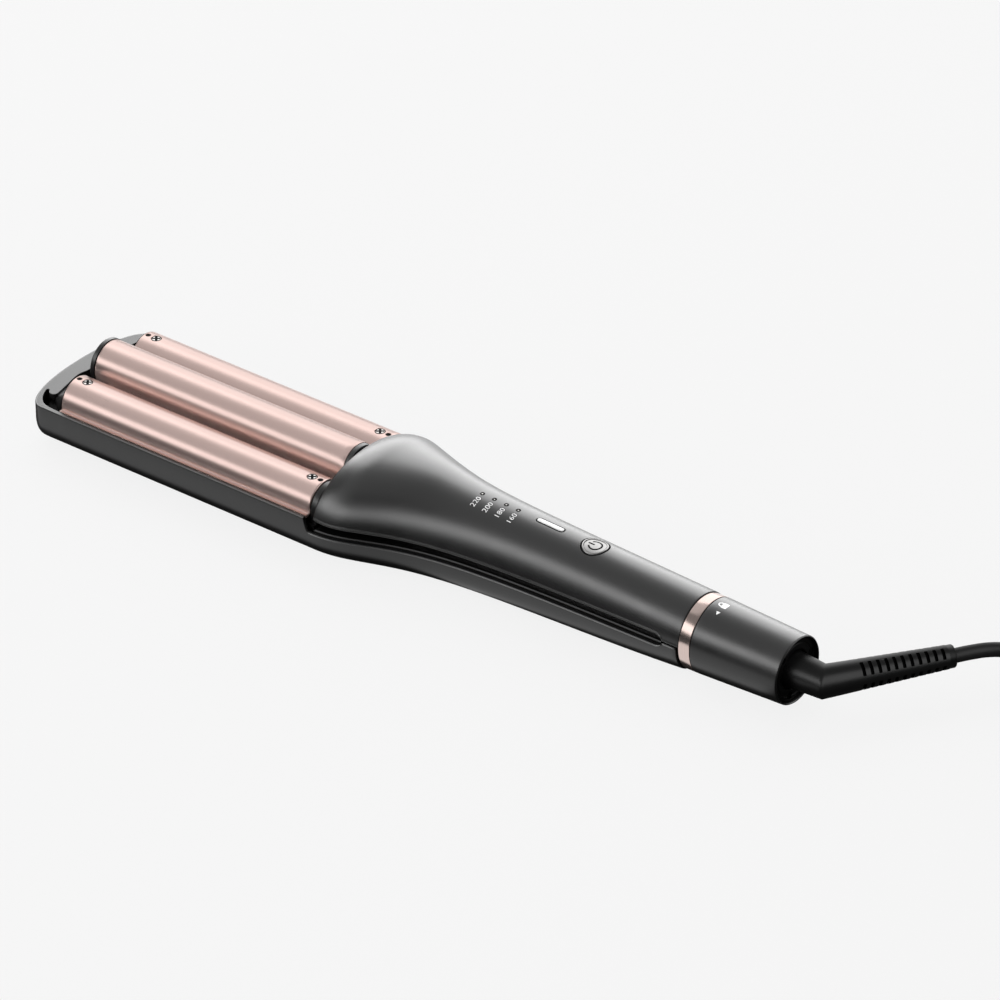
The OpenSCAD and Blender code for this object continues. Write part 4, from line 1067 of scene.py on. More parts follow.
# Upper arm ------------------------------------------------------------------------------------

BEAD, BEAD_TURN = 0.27, 0.024
SWEEP_STEPS = 56
SWEEP_POINTS = SWEEP_STEPS + 9
BEND_STEPS = 3
SECTION_POINTS = 2 * (SWEEP_POINTS + 2 * BEND_STEPS)


def upper_sweep(x, width, height, edge, bead):
    """The outside or the inside of a section, with a bead along both its edges."""
    a0 = math.asin((edge - AXIS_Z) / height)
    span = math.pi - 2 * a0
    near = [(0, bead), (BEAD_TURN * 0.55, bead), (BEAD_TURN * 1.6, 0.0), (0.055, 0.0)]
    turns = near + [(0.07 + (span - 0.14) * i / SWEEP_STEPS, 0.0) for i in range(SWEEP_STEPS + 1)]
    turns += [(span - d, out) for d, out in reversed(near)]
    return [(x, (width + out) * math.cos(a0 + d), AXIS_Z + height * math.sin(a0 + d))
            for d, out in turns]


def upper_section(x):
    """One closed section of the upper housing: outside, right lip, inside, left lip."""
    wall = upper_wall(x)
    lip = min(0.45, wall * 0.4)
    edge = upper_edge(x) + lip
    outer = upper_sweep(x, upper_half(x), top_height(x), edge, BEAD)
    inner = upper_sweep(x, upper_half(x) - wall, top_height(x) - wall, edge, 0.0)
    bend = [(x, y, z) for y, z in arc(outer[-1][1] + lip, edge, lip, 180, 270, BEND_STEPS)[1:]
            + arc(inner[-1][1] - lip, edge, lip, 270, 360, BEND_STEPS)[:-1]]
    return outer + bend + inner[::-1] + mirrored(bend)[::-1]


def opposite(i):
    """The point of a section across the wall from point i."""
    return (2 * (SWEEP_POINTS + BEND_STEPS) - 1 - i) % SECTION_POINTS


def drawn_in(ring, x, share):
    """A copy of a section at x whose outside and inside move towards each other."""
    across = [ring[opposite(i)] for i in range(SECTION_POINTS)]
    return [(x, y + (v - y) * share, z + (w - z) * share)
            for (_, y, z), (_, v, w) in zip(ring, across)]


def stadium(grow=0.0):
    """Plan outline of the temperature button, grown all round."""
    r, reach = TEMP_W / 2 + grow, (TEMP_L - TEMP_W) / 2
    return (arc(X_TEMP + reach, 0, r, -90, 90, 14) + arc(X_TEMP - reach, 0, r, 90, 270, 14))


def pill(levels):
    """Rings on the temperature button's outline; a level is (growth, height above the housing)."""
    return [[(x, y, top_z(x, y) + dz) for x, y in stadium(grow)] for grow, dz in levels]


def make_upper_shell():
    """The upper housing, with rounded ends and the openings for its buttons and lights."""
    nose = [X_NOSE + d for d in (0.5, 0.9, 1.5, 2.2, 3.0, 4.0, 5.0, 6.2, 7.5, 9, 10.5, 12, 13.5)]
    end = X_UPPER1 - 0.3
    xs = nose + stations((X_NOSE + 15, X_SLOT1 - 3, 90), (X_SLOT1 - 2.2, X_SLOT1 + 1.2, 14),
                         (X_SLOT1 + 2, end, 5))
    rings = []
    for a in map(math.radians, (0, 20, 42, 66)):
        x = X_NOSE + 0.5 * (1 - math.cos(a))
        rings.append(drawn_in(upper_section(x), x, 0.36 * (1 - math.sin(a))))
    rings += [upper_section(x) for x in sorted(set(xs))]
    rings += [drawn_in(upper_section(end), end + 0.3 * math.sin(a), 0.08 * (1 - math.cos(a)))
              for a in map(math.radians, (30, 60, 90))]
    points, faces = skin(rings)
    for base in (0, (len(rings) - 1) * SECTION_POINTS):
        for i in range(SECTION_POINTS):
            ahead, j, k = (i + 1) % SECTION_POINTS, opposite(i), opposite(i + 1)
            if i < j and ahead <= k + 1:
                faces.append((base + i, base + ahead, base + k, base + j))
    shell = piece_of("upper_shell", (points, faces))
    well_r, window_r = POWER_R + BEZEL_W + 0.08, 0.95
    cutters = [cutter(stood([(-6, 0), (-6, well_r), (3, well_r), (3, 0)], X_POWER,
                            foot=AXIS_Z + top_height(X_POWER))),
               cutter(solid(pill([(0.25, -6), (0.25, 3)])))]
    for x in X_WINDOWS:
        cutters.append(cutter(stood([(-6, 0), (-6, window_r), (2, window_r), (2, 0)], x, steps=32,
                                    foot=AXIS_Z + top_height(x))))
    take_out(shell, cutters)
    return dress(shell, "handle", "housing", housing_paint, "upper_housing")


def make_upper_cover():
    """Black cover on the underside of the upper arm, with a notch round the barrel's neck, and
    the posts of the board."""
    z0, z1 = SLOT_Z, SLOT_Z + COVER_T
    rings = []
    for x in stations((X_NOSE + 1.6, X_NOSE + 56, 40), (X_NOSE + 58, X_SLOT1 - 2.4, 30)):
        rise = (z1 - AXIS_Z) / top_height(x)
        w = upper_half(x) * math.sqrt(max(0, 1 - rise ** 2)) - upper_wall(x) - 0.2
        rings.append(symmetric(x, eased([(w - 1, z0), (w, z0), (w, z1)], 0.4, 3)))
    cover = piece_of("upper_slot_cover", solid(rings))
    gap = NECK_R + MOUNT_WALL + 1.2
    take_out(cover, [cutter(block(X_NOSE - 1, X_NOSE + 21, -gap, gap, z0 - 1, z1 + 1))])
    top = POST_H - SEAT_GAP
    post = eased([(-0.4, 0.9), (-0.4, 1.8), (top, 1.8, 0.15), (top, 0.9), (-0.4, 0.9)], 0.1)
    posts = piece_of("board_posts", *[stood(post, x, y, 32, z1)
                                      for x in (X_WINDOWS[3] - 5, X_POWER + 10)
                                      for y in (-7.1, 7.1)])
    dress(posts, "handle", "inner_plastic", black_moulding, "upper_cover")
    return dress(cover, "handle", "inner_plastic", black_moulding, "upper_cover")


def make_middle_barrel():
    r, bore = BARREL_R, BARREL_R - 1.2
    end = [(0.45, bore), (0, bore + 0.3), (0, r - 0.35), (0.12, r - 0.1), (0.4, r)]
    profile = [(X_BARREL0 + d, q) for d, q in end]
    profile += [(X_BARREL0 + 1 + i * 6.5, r) for i in range(21)]
    profile += [(X_BARREL1 - d, q) for d, q in reversed(end)]
    profile += [(X_BARREL1 - 20 - i * 10, bore) for i in range(10)] + [profile[0]]
    barrel = piece_of("rose_middle_barrel", turned(profile, z=BARREL_Z, steps=128))
    return dress(barrel, "handle", "rose_metal", rose_coating, "middle_barrel")


def make_tip_cap():
    """Black cap on the tip of the middle barrel, its end face slightly dished."""
    r, spigot_r = BARREL_R + 0.3, BARREL_R - 1.3
    x0, x1 = X_BARREL0 - 2.4, X_BARREL0 - 0.1
    profile = [(x0 + 0.75, 0), (x0 + 0.7, r * 0.45), (x0 + 0.45, r - 2.2), (x0, r - 1.4, 0.4),
               (x0, r - 0.4, 0.3), (x0 + 0.5, r, 0.3), (x1, r, 0.15), (x1, spigot_r, 0.05),
               (X_BARREL0 + 5, spigot_r, 0.3), (X_BARREL0 + 5, 0)]
    cap = piece_of("barrel_end_cap", turned(eased(profile, 0.3), z=BARREL_Z))
    return dress(cap, "handle", "fairing", fairing_resin, "barrel_tip_cap")


def make_neck():
    """Black neck that carries the middle barrel into the handle."""
    bore = NECK_R - 2.4
    x0, x1, x2 = X_BARREL1 - 5, X_BARREL1 + 0.1, X_NOSE + 20
    profile = [(x0, bore), (x0, 8.95, 0.2), (x1, 8.95), (x1, 10.0, 0.15), (x1 + 2.1, 9.9, 0.3),
               (x1 + 2.4, NECK_R, 0.1), (x2, NECK_R, 0.3), (x2, bore), (x0, bore)]
    neck = piece_of("barrel_neck_sleeve", turned(eased(profile, 0.1), z=BARREL_Z))
    return dress(neck, "handle", "fairing", land_paint, "barrel_neck")


make_upper_shell()
make_upper_cover()
make_middle_barrel()
make_tip_cap()
make_neck()

# Ring, lock collar and rear face --------------------------------------------------------------

FACE_R = 14.1


def make_trim_ring():
    bore = CORE_R + 0.03
    profile = [(X_RING0, bore), (X_RING0, RING_R - 0.15, 0.05), (X_RING0 + 0.15, RING_R),
               (X_RING1 - 0.15, RING_R), (X_RING1, RING_R - 0.15, 0.05), (X_RING1, bore),
               (X_RING0, bore)]
    ring = piece_of("polished_ring", turned(eased(profile, 0.1), steps=160))
    return dress(ring, "handle", "ring", ring_polish, "trim_ring")


def collar_radius(x):
    return RING_R + (COLLAR_END_R - RING_R) * (x - X_COLLAR0 - 0.5) / (X_REAR - X_COLLAR0 - 1)


def make_lock_collar():
    bore = CORE_R + 0.06
    profile = [(X_COLLAR0, bore), (X_COLLAR0, RING_R - 0.2, 0.05), (X_COLLAR0 + 0.2, RING_R, 0.1)]
    profile += [(x, collar_radius(x), 0) for x in stations((X_COLLAR0 + 2, X_REAR - 2, 12))]
    profile += [(X_REAR - 0.55, collar_radius(X_REAR - 0.55), 0.3),
                (X_REAR, COLLAR_END_R - 0.4, 0.15), (X_REAR, FACE_R + 0.25, 0.2),
                (X_REAR - 0.45, FACE_R, 0.1), (X_REAR - 4.8, FACE_R), (X_REAR - 4.8, bore),
                (X_COLLAR0, bore)]
    collar = piece_of("turning_collar", turned(eased(profile, 0.1), steps=160))
    return dress(collar, "lock_collar", "collar", collar_paint, "lock_collar")


def make_rear_face():
    """Rear face inside the collar, with a groove round the strain relief."""
    x0, x1 = X_REAR - 4.6, X_REAR - 1.6
    bore, groove, edge = 7.0, 8.6, FACE_R - 0.1
    profile = [(x0, bore), (x0, edge), (x1 - 0.3, edge, 0.0), (x1, edge - 0.3), (x1, 12.1, 0.1),
               (x1 - 0.25, 11.85, 0.1), (x1 - 0.25, 11.45, 0.1), (x1, 11.2, 0.1),
               (x1, groove + 0.4, 0.2), (x1 - 0.5, groove, 0.1), (x0 + 1.5, groove),
               (x0 + 1.5, bore), (x0, bore)]
    face = piece_of("rear_face", turned(eased(profile, 0.1), steps=128))
    hole = [(x1 - 1.2, 0), (x1 - 1.2, 1.75), (x1 + 1, 1.75), (x1 + 1, 0)]
    places = [rotated(math.radians(a), 0, CORE_R - 1.45) for a in (45, 165, 285)]
    take_out(face, [cutter(turned(hole, y, AXIS_Z + z, 32)) for y, z in places])
    return dress(face, "handle", "rear_face", face_plastic, "rear_plate")


make_trim_ring()
make_lock_collar()
make_rear_face()

# Strain relief --------------------------------------------------------------------------------

ELBOW_TURN = math.radians(57.3)
ELBOW_R, ROOT_R = 7.0, 7.9
RELIEF_L, RELIEF_END_R = 56.0, 4.9
SLIT_W, SLIT_TURN = 1.5, math.radians(28.5)
SLIT_START, SLIT_PITCH, SLITS = 14.7, 3.5, 11


def relief_point(x, y, z):
    """From the outer half's own frame, x along it, to the part's frame."""
    u, v = rotated(ELBOW_TURN, x, y)
    return (X_ELBOW + u, v, AXIS_Z + z)


def relief_radius(x):
    return ELBOW_R + (RELIEF_END_R - ELBOW_R) * x / RELIEF_L


def relief_body():
    """The boot's skin: its sections lean into the elbow, where its two halves meet."""
    def lean(d):
        return math.tan(ELBOW_TURN / 2 * max(0, 1 - d / 8.5) ** 1.6)

    x0 = X_REAR - 2.8
    inward = [(x0, 7.2), (x0, 7.7), (x0 + 0.3, ROOT_R)]
    for x in stations((x0 + 1, X_ELBOW, 18)):
        inward.append((x, ROOT_R + (ELBOW_R - ROOT_R) * (x - x0) / (X_ELBOW - x0)))
    ds = [0.6, 1.3, 2.1, 3, 4, 5.2, 6.6, 8.4, 10, 12, 14] + stations((16, RELIEF_L - 3.2, 12))
    outward = [(d, relief_radius(d)) for d in ds]
    end, r = RELIEF_L, RELIEF_END_R
    outward += [(end - 2.9, r + 0.1), (end - 2.6, r - 0.05), (end - 0.5, r - 0.05),
                (end - 0.15, r - 0.25), (end, r - 0.7), (end - 0.1, CORD_D / 2 + 0.15),
                (end - 1.5, CORD_D / 2 + 0.05)]
    rings = [[(x - lean(X_ELBOW - x) * u, u, AXIS_Z + v) for u, v in circle(r, 64)]
             for x, r in inward]
    rings += [[relief_point(d + lean(d) * u, u, v) for u, v in circle(r, 64)]
              for d, r in outward]
    return solid(rings)


def slit(d0, turn):
    """Cutter for one slot across the boot, that starts at d0 along it."""
    mid, end = d0 + SLIT_W / 2, d0 + SLIT_W
    r = relief_radius(mid)
    half = r * math.sin(SLIT_TURN)
    outline = eased([(mid, -half), (d0, -half), (d0, half), (end, half), (end, -half),
                     (mid, -half)], 0.35, 3)[:-1]
    return solid([[relief_point(d, *rotated(turn, y, depth)) for d, y in outline]
                  for depth in (r - 1.6, r + 3)])


def make_strain_relief():
    """Rubber boot with an elbow and four rows of slots, their insides dull black as painted shade.
    """
    relief = piece_of("relief_boot", relief_body(), crease=62)
    take_out(relief, [cutter(*[slit(SLIT_START + SLIT_PITCH * i, math.radians(36 + 90 * row))
                               for i in range(SLITS)]) for row in range(4)], crease=62)
    dress(relief, "cord_swivel", "cord_rubber", relief_rubber, "strain_relief")
    # The faces inside the slots take the dull black: painted shade.
    relief.data.materials.append(pit_black)
    back = Vector(relief_point(0, 0, 0)) * MM
    along = (Vector(relief_point(1, 0, 0)) * MM - back).normalized()
    for face in relief.data.polygons:
        d = (face.center - back).dot(along)
        r = (face.center - back - along * d).length
        if 13 * MM < d < (RELIEF_L - 2) * MM and r < (relief_radius(d / MM) - 0.12) * MM:
            face.material_index = 1
    return relief


make_strain_relief()

# Buttons and lights ---------------------------------------------------------------------------

FLANGE_H, BUTTON_FLANGE = 0.7, 0.6
DISH_R, DISH_Z, DISH_RISE = POWER_R - 1.0, 0.02, 0.1


def crowned(levels):
    """A round solid on the power button's centre; a level is its height above the housing and
    its radius."""
    return [[(X_POWER + x, y, top_z(X_POWER + x, y) + dz) for x, y in circle(r, 96)]
            for dz, r in levels]


def make_power_button():
    """Round button with a spun dish inside a raised edge, crowned like the housing."""
    low, high, r = BUTTON_FOOT, BUTTON_FOOT + FLANGE_H, POWER_R
    rings = [[(X_POWER + x, y, z) for x, y in circle(q, 96)]
             for z, q in ((low, 0), (low, r + BUTTON_FLANGE), (high, r + BUTTON_FLANGE), (high, r))]
    rings += crowned([(-0.6, r), (0.0, r), (0.18, r - 0.08), (0.26, r - 0.26), (0.26, r - 0.6),
                      (0.14, r - 0.74), (-0.16, r - 0.78), (-0.16, r - 0.94), (DISH_Z, DISH_R)])
    rings += crowned([(DISH_Z + DISH_RISE * (i / 8) ** 2, DISH_R * (1 - i / 8))
                      for i in range(1, 9)])
    return dress(piece_of("power_disc", skin(rings)), "power_button", "power_face", power_face,
                 "power_button")


def make_power_bezel():
    inner, outer = POWER_R + 0.25, POWER_R + BEZEL_W
    levels = [(-3.4, inner), (-3.4, outer), (-0.2, outer), (-0.04, outer - 0.04),
              (0.04, outer - 0.14), (0.04, inner + 0.12), (-0.03, inner + 0.03),
              (-0.15, inner), (-3.4, inner)]
    bezel = piece_of("power_surround", skin(crowned(levels)))
    return dress(bezel, "handle", "bezel", pit_black, "power_bezel")


def make_temp_button():
    """Long button: a black body with a white bar let into its top."""
    foot = BUTTON_FOOT
    body = [[(x, y, foot) for x, y in stadium()]]
    body += pill([(0.1, -0.35), (0.07, -0.02), (0, 0.04), (-0.3, 0.04), (-0.34, -0.04),
                  (-1.3, -0.04)])
    flange = [[(x, y, z) for x, y in stadium(BUTTON_FLANGE)] for z in (foot, foot + FLANGE_H)]
    dress(piece_of("temp_body", solid(body), solid(flange)), "temp_button", "button_face",
          pit_black, "temp_button")
    bar = pill([(-0.36, -0.02), (-0.36, 0.1), (-0.44, 0.18), (-0.62, 0.23), (-1.2, 0.25)])
    return dress(piece_of("temp_bar", solid(bar)), "temp_button", "button_face", temp_face,
                 "temp_button")


def make_windows():
    """Dark rims let into the housing, each round the end of a light pipe."""
    rims, pipes = [], []
    rim = eased([(-1.2, 0.34), (-1.2, 0.93), (-0.05, 0.93, 0.0), (-0.05, 1.12, 0.0),
                 (0.04, 1.06), (0.0, 0.34), (-1.2, 0.34)], 0.03, 3)
    for x in X_WINDOWS:
        top = AXIS_Z + top_height(x)
        foot = BOARD_TOP + LED_H + SEAT_GAP - top
        pipe = eased([(foot, 0), (foot, 0.32), (-0.02, 0.32, 0.1), (0.04, 0)], 0.1, 3)
        rims.append(stood(rim, x, steps=32, foot=top))
        pipes.append(stood(pipe, x, steps=32, foot=top))
    dress(piece_of("window_rims", *rims), "handle", "bezel", pit_black)
    return dress(piece_of("light_guides", *pipes), "handle", "led", clear_guide, "light_pipes")


make_power_button()
make_power_bezel()
make_temp_button()
make_windows()

# Marks ----------------------------------------------------------------------------------------

MARK_T = 0.04
DIGITS_Y, DIGITS_H, DIGITS_W = -5.4, 3.3, 1.12
X_MARKS, ARROW_TURN = X_RING1 + 5.3, 18.2


def printed(name, flat, place, body, slot):
    """Thin printed mark: flat is a mesh of plan triangles, place lifts a plan point."""
    points, faces = flat
    count = len(points)
    verts = [place(x, y, dz) for dz in (-MARK_T, MARK_T) for x, y in points]
    shell = [tuple(reversed(f)) for f in faces] + [tuple(i + count for i in f) for f in faces]
    edges = dict.fromkeys((a, b) for f in faces for a, b in zip(f, f[1:] + f[:1]))
    shell += [(a, b, b + count, a + count) for a, b in edges if (b, a) not in edges]
    return dress(piece_of(name, (verts, shell)), body, slot, print_white)


def words(text, size):
    """Outline mesh of a few digits, centred on the origin, baseline along X, in mm."""
    data = bpy.data.curves.new("digits", "FONT")
    data.body = text
    data.size = size
    data.align_x = "CENTER"
    data.align_y = "CENTER"
    data.offset = -0.04
    data.resolution_u = 3
    holder = keep("digits", data)
    graph = bpy.context.evaluated_depsgraph_get()
    mesh = bpy.data.meshes.new_from_object(holder.evaluated_get(graph))
    points = [(v.co.x, v.co.y) for v in mesh.vertices]
    faces = [tuple(f.vertices) for f in mesh.polygons]
    bpy.data.objects.remove(holder)
    bpy.data.meshes.remove(mesh)
    return points, faces


def stroke(line, width):
    """A band of constant width along a plan line, as quads."""
    points = []
    last = len(line) - 1
    for i, (x, y) in enumerate(line):
        a, b = line[max(0, i - 1)], line[min(last, i + 1)]
        size = math.dist(a, b)
        nx, ny = -(b[1] - a[1]) / size * width / 2, (b[0] - a[0]) / size * width / 2
        points += [(x + nx, y + ny), (x - nx, y - ny)]
    return points, [(2 * i, 2 * i + 1, 2 * i + 3, 2 * i + 2) for i in range(last)]


def make_digits():
    """The temperature in degrees beside each light."""
    for text, x0 in zip(("160", "180", "200", "220"), X_WINDOWS):
        def place(u, v, dz, x0=x0):
            x, y = x0 + 0.75 - v, DIGITS_Y + u * DIGITS_W
            return (x, y, top_z(x, y) + dz)

        printed("digits_" + text, words(text, DIGITS_H), place, "handle", "button_face")


def make_power_mark():
    """Broken circle with an upright bar, its top towards the nose."""
    width = 0.75
    flat = both(stroke(arc(0, 0, 2.8, 122, 418, 40), width),
                stroke([(0, 0.4), (0, 1.3), (0, 2.2), (0, 3.4)], width))

    def place(u, v, dz):
        x, y = X_POWER - v, u
        dish = DISH_Z + DISH_RISE * (1 - min(1, math.hypot(u, v) / DISH_R)) ** 2
        return (x, y, top_z(x, y) + dish + dz)

    mark = printed("power_mark", flat, place, "power_button", "power_face")
    mark.data.materials[0] = pit_black


def on_collar(centre_x, turn):
    """Places a flat mark on the collar, its top towards the nose, turned about the axis."""
    def place(u, v, dz):
        x = centre_x - v
        r = collar_radius(x) + dz
        a = math.radians(turn) - u / r
        return (x, -r * math.sin(a), AXIS_Z + r * math.cos(a))
    return place


def make_collar_marks():
    """Closed padlock, and a triangle that points to it round the collar."""
    half, steps, corner = 1.75, 12, 0.3
    across = [half * (2 * i / steps - 1) for i in range(steps + 1)]
    rounding = [corner if abs(u) > half - 0.1 else 0.0 for u in across]
    outer = ([(u, -1.8 + r) for u, r in zip(across, rounding)]
             + [(u, 0.8 - r) for u, r in zip(across, rounding)])
    body = (outer, [(i, i + 1, i + steps + 2, i + steps + 1) for i in range(steps)])
    shackle = stroke([(-1.05, 0.8), (-1.05, 1.3)] + arc(0, 1.35, 1.05, 180, 0, 12)
                     + [(1.05, 1.3), (1.05, 0.8)], 0.5)
    arrow = ([(0.85, -1.0), (0.85, 1.0), (-0.9, 0)], [(0, 1, 2)])
    for name, flat, place in (("padlock_mark", both(body, shackle), on_collar(X_MARKS, 0)),
                              ("lock_arrow", arrow, on_collar(X_MARKS + 0.4, ARROW_TURN))):
        printed(name, flat, place, "lock_collar", "button_face")


make_digits()
make_power_mark()
make_collar_marks()

# Tie and plug ---------------------------------------------------------------------------------

BAND_HALF = 4.0


def make_cord_tie():
    """Woven band round the wound cord, with a raised hem along both its edges."""
    half, bend = COIL_SIDE + CORD_D / 2 + 0.1, 2.2
    r0 = math.sqrt((COIL_R - half) ** 2 - BAND_HALF ** 2) - RUN_GAP
    r1 = COIL_R + half + RUN_GAP
    foot = COIL_Z - CORD_D / 2
    z0, z1 = foot - RUN_GAP, foot + 3 * COIL_RISE + CORD_D + RUN_GAP
    near, far, low, high = r0 + bend, r1 - bend, z0 + bend, z1 - bend
    turn = math.radians(65)
    hem = [(0.5, 2.8), (0.6, 3.0), (0.6, 3.8), (0.45, BAND_HALF), (0.15, BAND_HALF), (0.0, 3.8)]
    rings = []
    for grow, across in ([(0.0, -3.8)] + hem[::-1] + [(grow, -across) for grow, across in hem]):
        corner = bend + grow
        ring = (arc(far, high, corner, 0, 90, 6) + arc(near, high, corner, 90, 180, 6)
                + arc(near, low, corner, 180, 270, 6) + arc(far, low, corner, 270, 360, 6))
        spots = [(*rotated(turn, r, across), z) for r, z in ring]
        rings.append([(COIL_X + u, COIL_Y + v, z) for u, v, z in spots])
    return dress(piece_of("cord_band", skin(rings)), "cord_swivel", "tie", tie_nylon, "cord_tie")


def make_plug():
    """Plug body: a grip that widens to a flat face, with ribs on its sides. A level of its
    profile is (distance from the cord's end, half width, half height)."""
    thick = PLUG_T / 2
    profile = [(0, 3.6, 3.6), (0.25, 4.4, 4.4), (1.0, 5.0, 4.9), (5, 5.6, 5.6), (9, 6.5, 6.2),
               (12, 9.0, 6.5), (15, 11.6, 6.7), (17.5, 13.4, thick), (20, 15.0, thick),
               (22.5, 16.4, thick), (25, 16.9, thick), (30, PLUG_HALF, thick),
               (PLUG_L - 1.4, PLUG_HALF, thick), (PLUG_L - 0.5, PLUG_HALF - 0.3, thick - 0.3),
               (PLUG_L, PLUG_HALF - 1.1, thick - 1.1)]
    rings = []
    for along, w, h in profile:
        power = 2.2 + 3.2 * clamped((along - 8) / 12)
        spots = [swelled(2 * math.pi * i / 72, w, h, power) for i in range(72)]
        rings.append([(PLUG_X + u, PLUG_Y - along, thick + v) for u, v in spots])
    body = piece_of("two_pin_plug", solid(rings))
    cutters = []
    for side in SIDES:
        x = PLUG_X + side * PLUG_HALF
        ys = [PLUG_Y - 24.4 - 2.0 * i for i in range(5)]
        cutters.append(cutter(*[block(x - 0.6, x + 0.6, y - 0.45, y + 0.45, 2.6, PLUG_T - 2.6)
                                for y in ys]))
    take_out(body, cutters)
    return dress(body, "cord_swivel", "plug_rubber", cord_rubber, "plug_body")


def make_prongs():
    """The plug's two round pins."""
    profile = eased([(0, 0), (0, PRONG_R), (PRONG_L - 0.8, PRONG_R, 0.6),
                     (PRONG_L, PRONG_R - 0.7, 0.4), (PRONG_L, 0)], 0.1)
    pins = [skin([[(PLUG_X + side * PRONG_OUT + u, PLUG_Y - PLUG_L - d, PLUG_T / 2 + v)
                   for u, v in circle(r, 40)] for d, r in profile]) for side in SIDES]
    return dress(piece_of("plug_prongs", *pins), "cord_swivel", "plug_metal", plug_metal,
                 "plug_pins")


tie, plug, prongs = make_cord_tie(), make_plug(), make_prongs()
cord.data.materials.append(cord_rubber)
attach(cord, "cord_swivel")
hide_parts("cord_tube", "cord_coil", "cord_tail")

# Floor and light ------------------------------------------------------------------------------

BACKDROP = 0.93
FLOOR_COLOUR = 0.12
FLOOR_LIT = 0.08
SKY = 0.25


def mirrored_floor_painted_shade(tree):
    """How bright the floor is in what mirrors it: a bright band round the tool, with painted shade
    under the tool, farther out in front of it and at and behind its rear end. All places are in
    metres."""
    where = split(new_node(tree, "TexCoord").outputs["Object"])
    beside = calculated("ABSOLUTE", where["Y"])
    slim = ramped(where["X"], -0.03, 0.04)
    beyond = less(beside, less(0.041, times(slim, 0.0255)))
    shade = ramped(beyond, 0.0, 0.002)
    tail = times(ramped(where["X"], 0.08, 0.11), 0.042)
    in_front = ramped(times(where["Y"], -1.0), 0.0, 0.005)
    past = times(in_front, ramped(less(beyond, tail), 0.024, 0.042))
    ends = ramped(where["X"], 0.176, 0.184)
    return times(times(less(shade, times(shade, past)), less(1.0, ends)), 1.15)


def added(a, b):
    """Two shaders, added."""
    node = new_node(a.id_data, "AddShader")
    feed(node.inputs[0], a)
    feed(node.inputs[1], b)
    return node.outputs[0]


def floor_finish():
    """Clear to the camera over the even backdrop, but for the tool's soft shadow, so that an
    arm which swings below the floor stays in view. From below it isn't there."""
    mat = bpy.data.materials.new("pale_floor")
    mat.use_nodes = True
    tree = mat.node_tree
    tree.nodes.clear()
    path = new_node(tree, "LightPath").outputs
    diffuse, glow = new_node(tree, "BsdfDiffuse"), new_node(tree, "Emission")
    clear, nothing = new_node(tree, "BsdfTransparent"), new_node(tree, "BsdfTransparent")
    feed(diffuse.inputs["Color"], rgba(FLOOR_COLOUR))
    # Glossy rays see the floor with painted shade under and round the tool; transmission rays see it
    # evenly bright.
    seen = calculated("MAXIMUM", times(path["Is Glossy Ray"], mirrored_floor_painted_shade(tree)),
                      path["Is Transmission Ray"])
    feed(glow.inputs["Strength"], times(seen, BACKDROP - FLOOR_LIT))
    feed(clear.inputs["Color"], times(path["Is Camera Ray"], 1 - FLOOR_LIT / BACKDROP))
    sides = new_node(tree, "MixShader")
    feed(sides.inputs["Fac"], new_node(tree, "NewGeometry").outputs["Backfacing"])
    feed(sides.inputs[1], added(added(diffuse.outputs[0], glow.outputs[0]), clear.outputs[0]))
    feed(sides.inputs[2], nothing.outputs[0])
    feed(new_node(tree, "OutputMaterial").inputs["Surface"], sides.outputs[0])
    return mat


def make_floor():
    half = 4
    mesh = bpy.data.meshes.new("studio_floor")
    mesh.from_pydata([(-half, -half, 0), (half, -half, 0), (half, half, 0), (-half, half, 0)],
                     [], [(0, 1, 2, 3)])
    mesh.materials.append(floor_finish())
    floor = keep("studio_floor", mesh)
    floor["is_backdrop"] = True
    return floor


def softbox(name, takers, azimuth, low, high, half_turn, level, distance=2.0):
    """An area light that looks at the tool's middle, from elevation low to high and half_turn
    to each side; level is its brightness where 1 is white, takers the pieces that it lights."""
    data = bpy.data.lights.new(name, "AREA")
    data.shape = "RECTANGLE"
    data.size = 2 * distance * math.tan(math.radians(half_turn))
    data.size_y = 2 * distance * math.tan(math.radians((high - low) / 2))
    data.energy = level * math.pi * data.size * data.size_y
    lamp = keep(name, data)
    a, e = math.radians(azimuth), math.radians((low + high) / 2)
    toward = Vector((math.cos(e) * math.cos(a), math.cos(e) * math.sin(a), math.sin(e)))
    lamp.location = toward * distance
    lamp.rotation_euler = toward.to_track_quat("Z", "Y").to_euler()
    lamp.visible_camera = False
    lamp.light_linking.receiver_collection = takers
    return lamp


def make_world():
    """Even grey studio air, darker low in front of the tool; white behind all that is seen."""
    world = bpy.data.worlds.new("studio")
    bpy.context.scene.world = world
    world.use_nodes = True
    tree = world.node_tree
    sky = tree.nodes["Background"]
    feed(sky.inputs["Color"], rgba(1.0))
    where = split(new_node(tree, "TexCoord").outputs["Generated"])
    front = ramped(times(where["Y"], -1.0), 0.1, 0.5)
    low = less(1.0, ramped(where["Z"], 0.06, 0.2))
    level = times(less(1.0, times(times(front, low), 0.9)), SKY)
    shown = times(new_node(tree, "LightPath").outputs["Is Camera Ray"], BACKDROP)
    feed(sky.inputs["Strength"], calculated("MAXIMUM", level, shown))


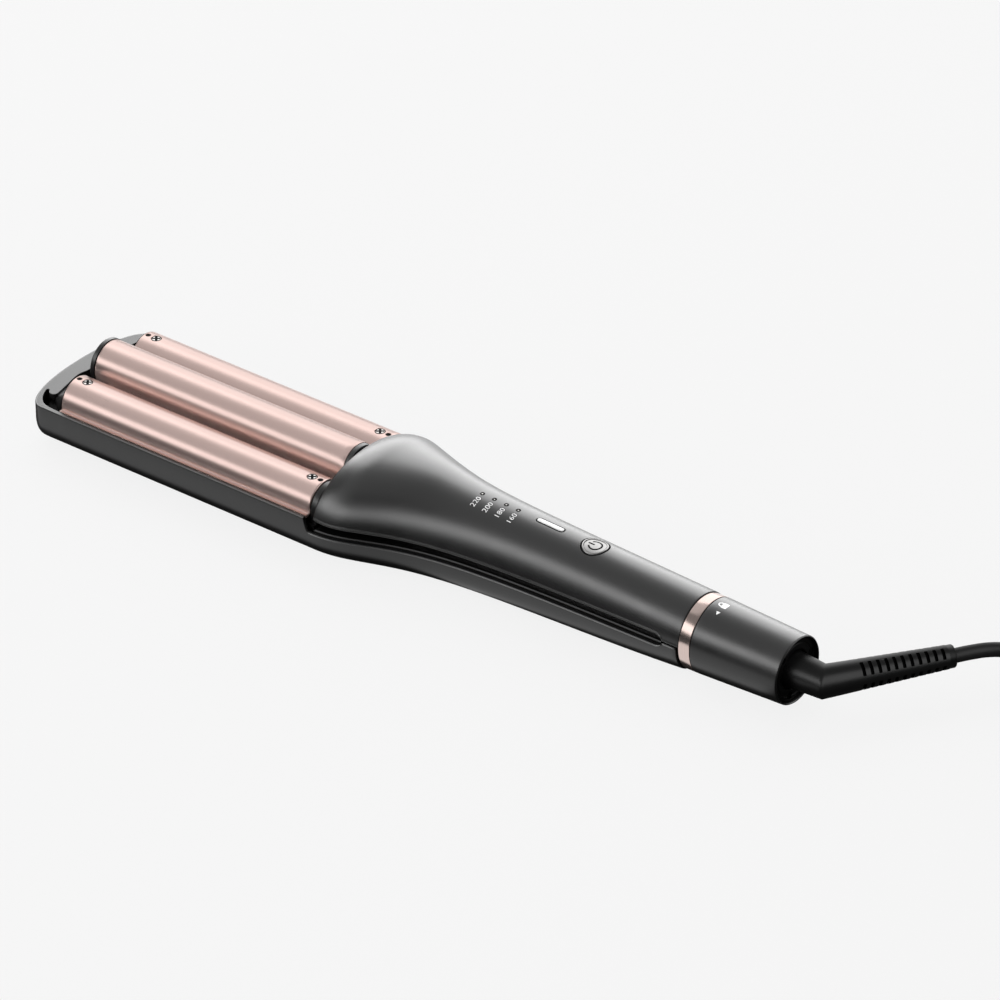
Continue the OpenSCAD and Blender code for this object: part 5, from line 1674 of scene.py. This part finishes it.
def takers_of(name, finishes, *more):
    """A light's own collection: the pieces with one of the finishes, and any more objects."""
    takers = bpy.data.collections.new(name)
    for piece in list(more) + [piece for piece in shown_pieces()
                               if piece.data.materials and piece.data.materials[0] in finishes]:
        takers.objects.link(piece)
    return takers


def light_studio(floor):
    """Soft boxes round and above the tool, a set for each kind of finish, and a weak fill from
    below for the valleys of the rose pieces."""
    ring = (ring_polish, power_face, screw_nickel, bright_steel, contact_brass, plug_metal)
    metal = (rose_coating, bare_aluminium)
    rubber = (relief_rubber, cord_rubber, tie_nylon)
    moulded_ones = [mat for mat in bpy.data.materials if mat not in ring + metal + rubber]

    takers = takers_of("moulded_pieces", moulded_ones)
    softbox("front_moulded", takers, 237, 16, 35.5, 38, 6.4)
    softbox("back_moulded", takers, 121, 0, 51, 31, 5.6, 2.4)
    softbox("top_moulded", takers, 190, 42, 80, 30, 0.75)
    softbox("rear_moulded", takers, 45, 15, 50, 38, 2.2)

    takers = takers_of("rubber_pieces", rubber)
    softbox("front_rubber", takers, 237, 12, 36, 38, 2.6)
    softbox("back_rubber", takers, 126, 0, 45, 34, 1.1, 2.4)
    softbox("side_rubber", takers, 345, 12, 56, 30, 1.5)

    takers = takers_of("satin_pieces_and_floor", metal, floor)
    softbox("front_satin", takers, 237, 12, 31, 38, 1.66)
    softbox("back_satin", takers, 128, 8, 59, 34, 1.2, 2.4)
    softbox("top_satin", takers, 190, 40, 80, 34, 0.47)

    takers = takers_of("polished_pieces", ring)
    softbox("front_polished", takers, 237, 15, 38, 38, 1.7)
    softbox("back_polished", takers, 130, 0, 53, 40, 1.65, 2.4)
    softbox("top_polished", takers, 157, 53, 74, 24, 0.45)

    takers = takers_of("rose_pieces", (rose_coating,))
    softbox("side_satin", takers, 50, 8, 60, 40, 1.5)
    fill = softbox("valley_fill", takers, 232, -60, -5, 40, 0.12)
    fill.data.use_shadow = False
    fill.data.cycles.use_multiple_importance_sampling = False


make_world()
light_studio(make_floor())
bpy.context.scene.view_settings.view_transform = "Standard"
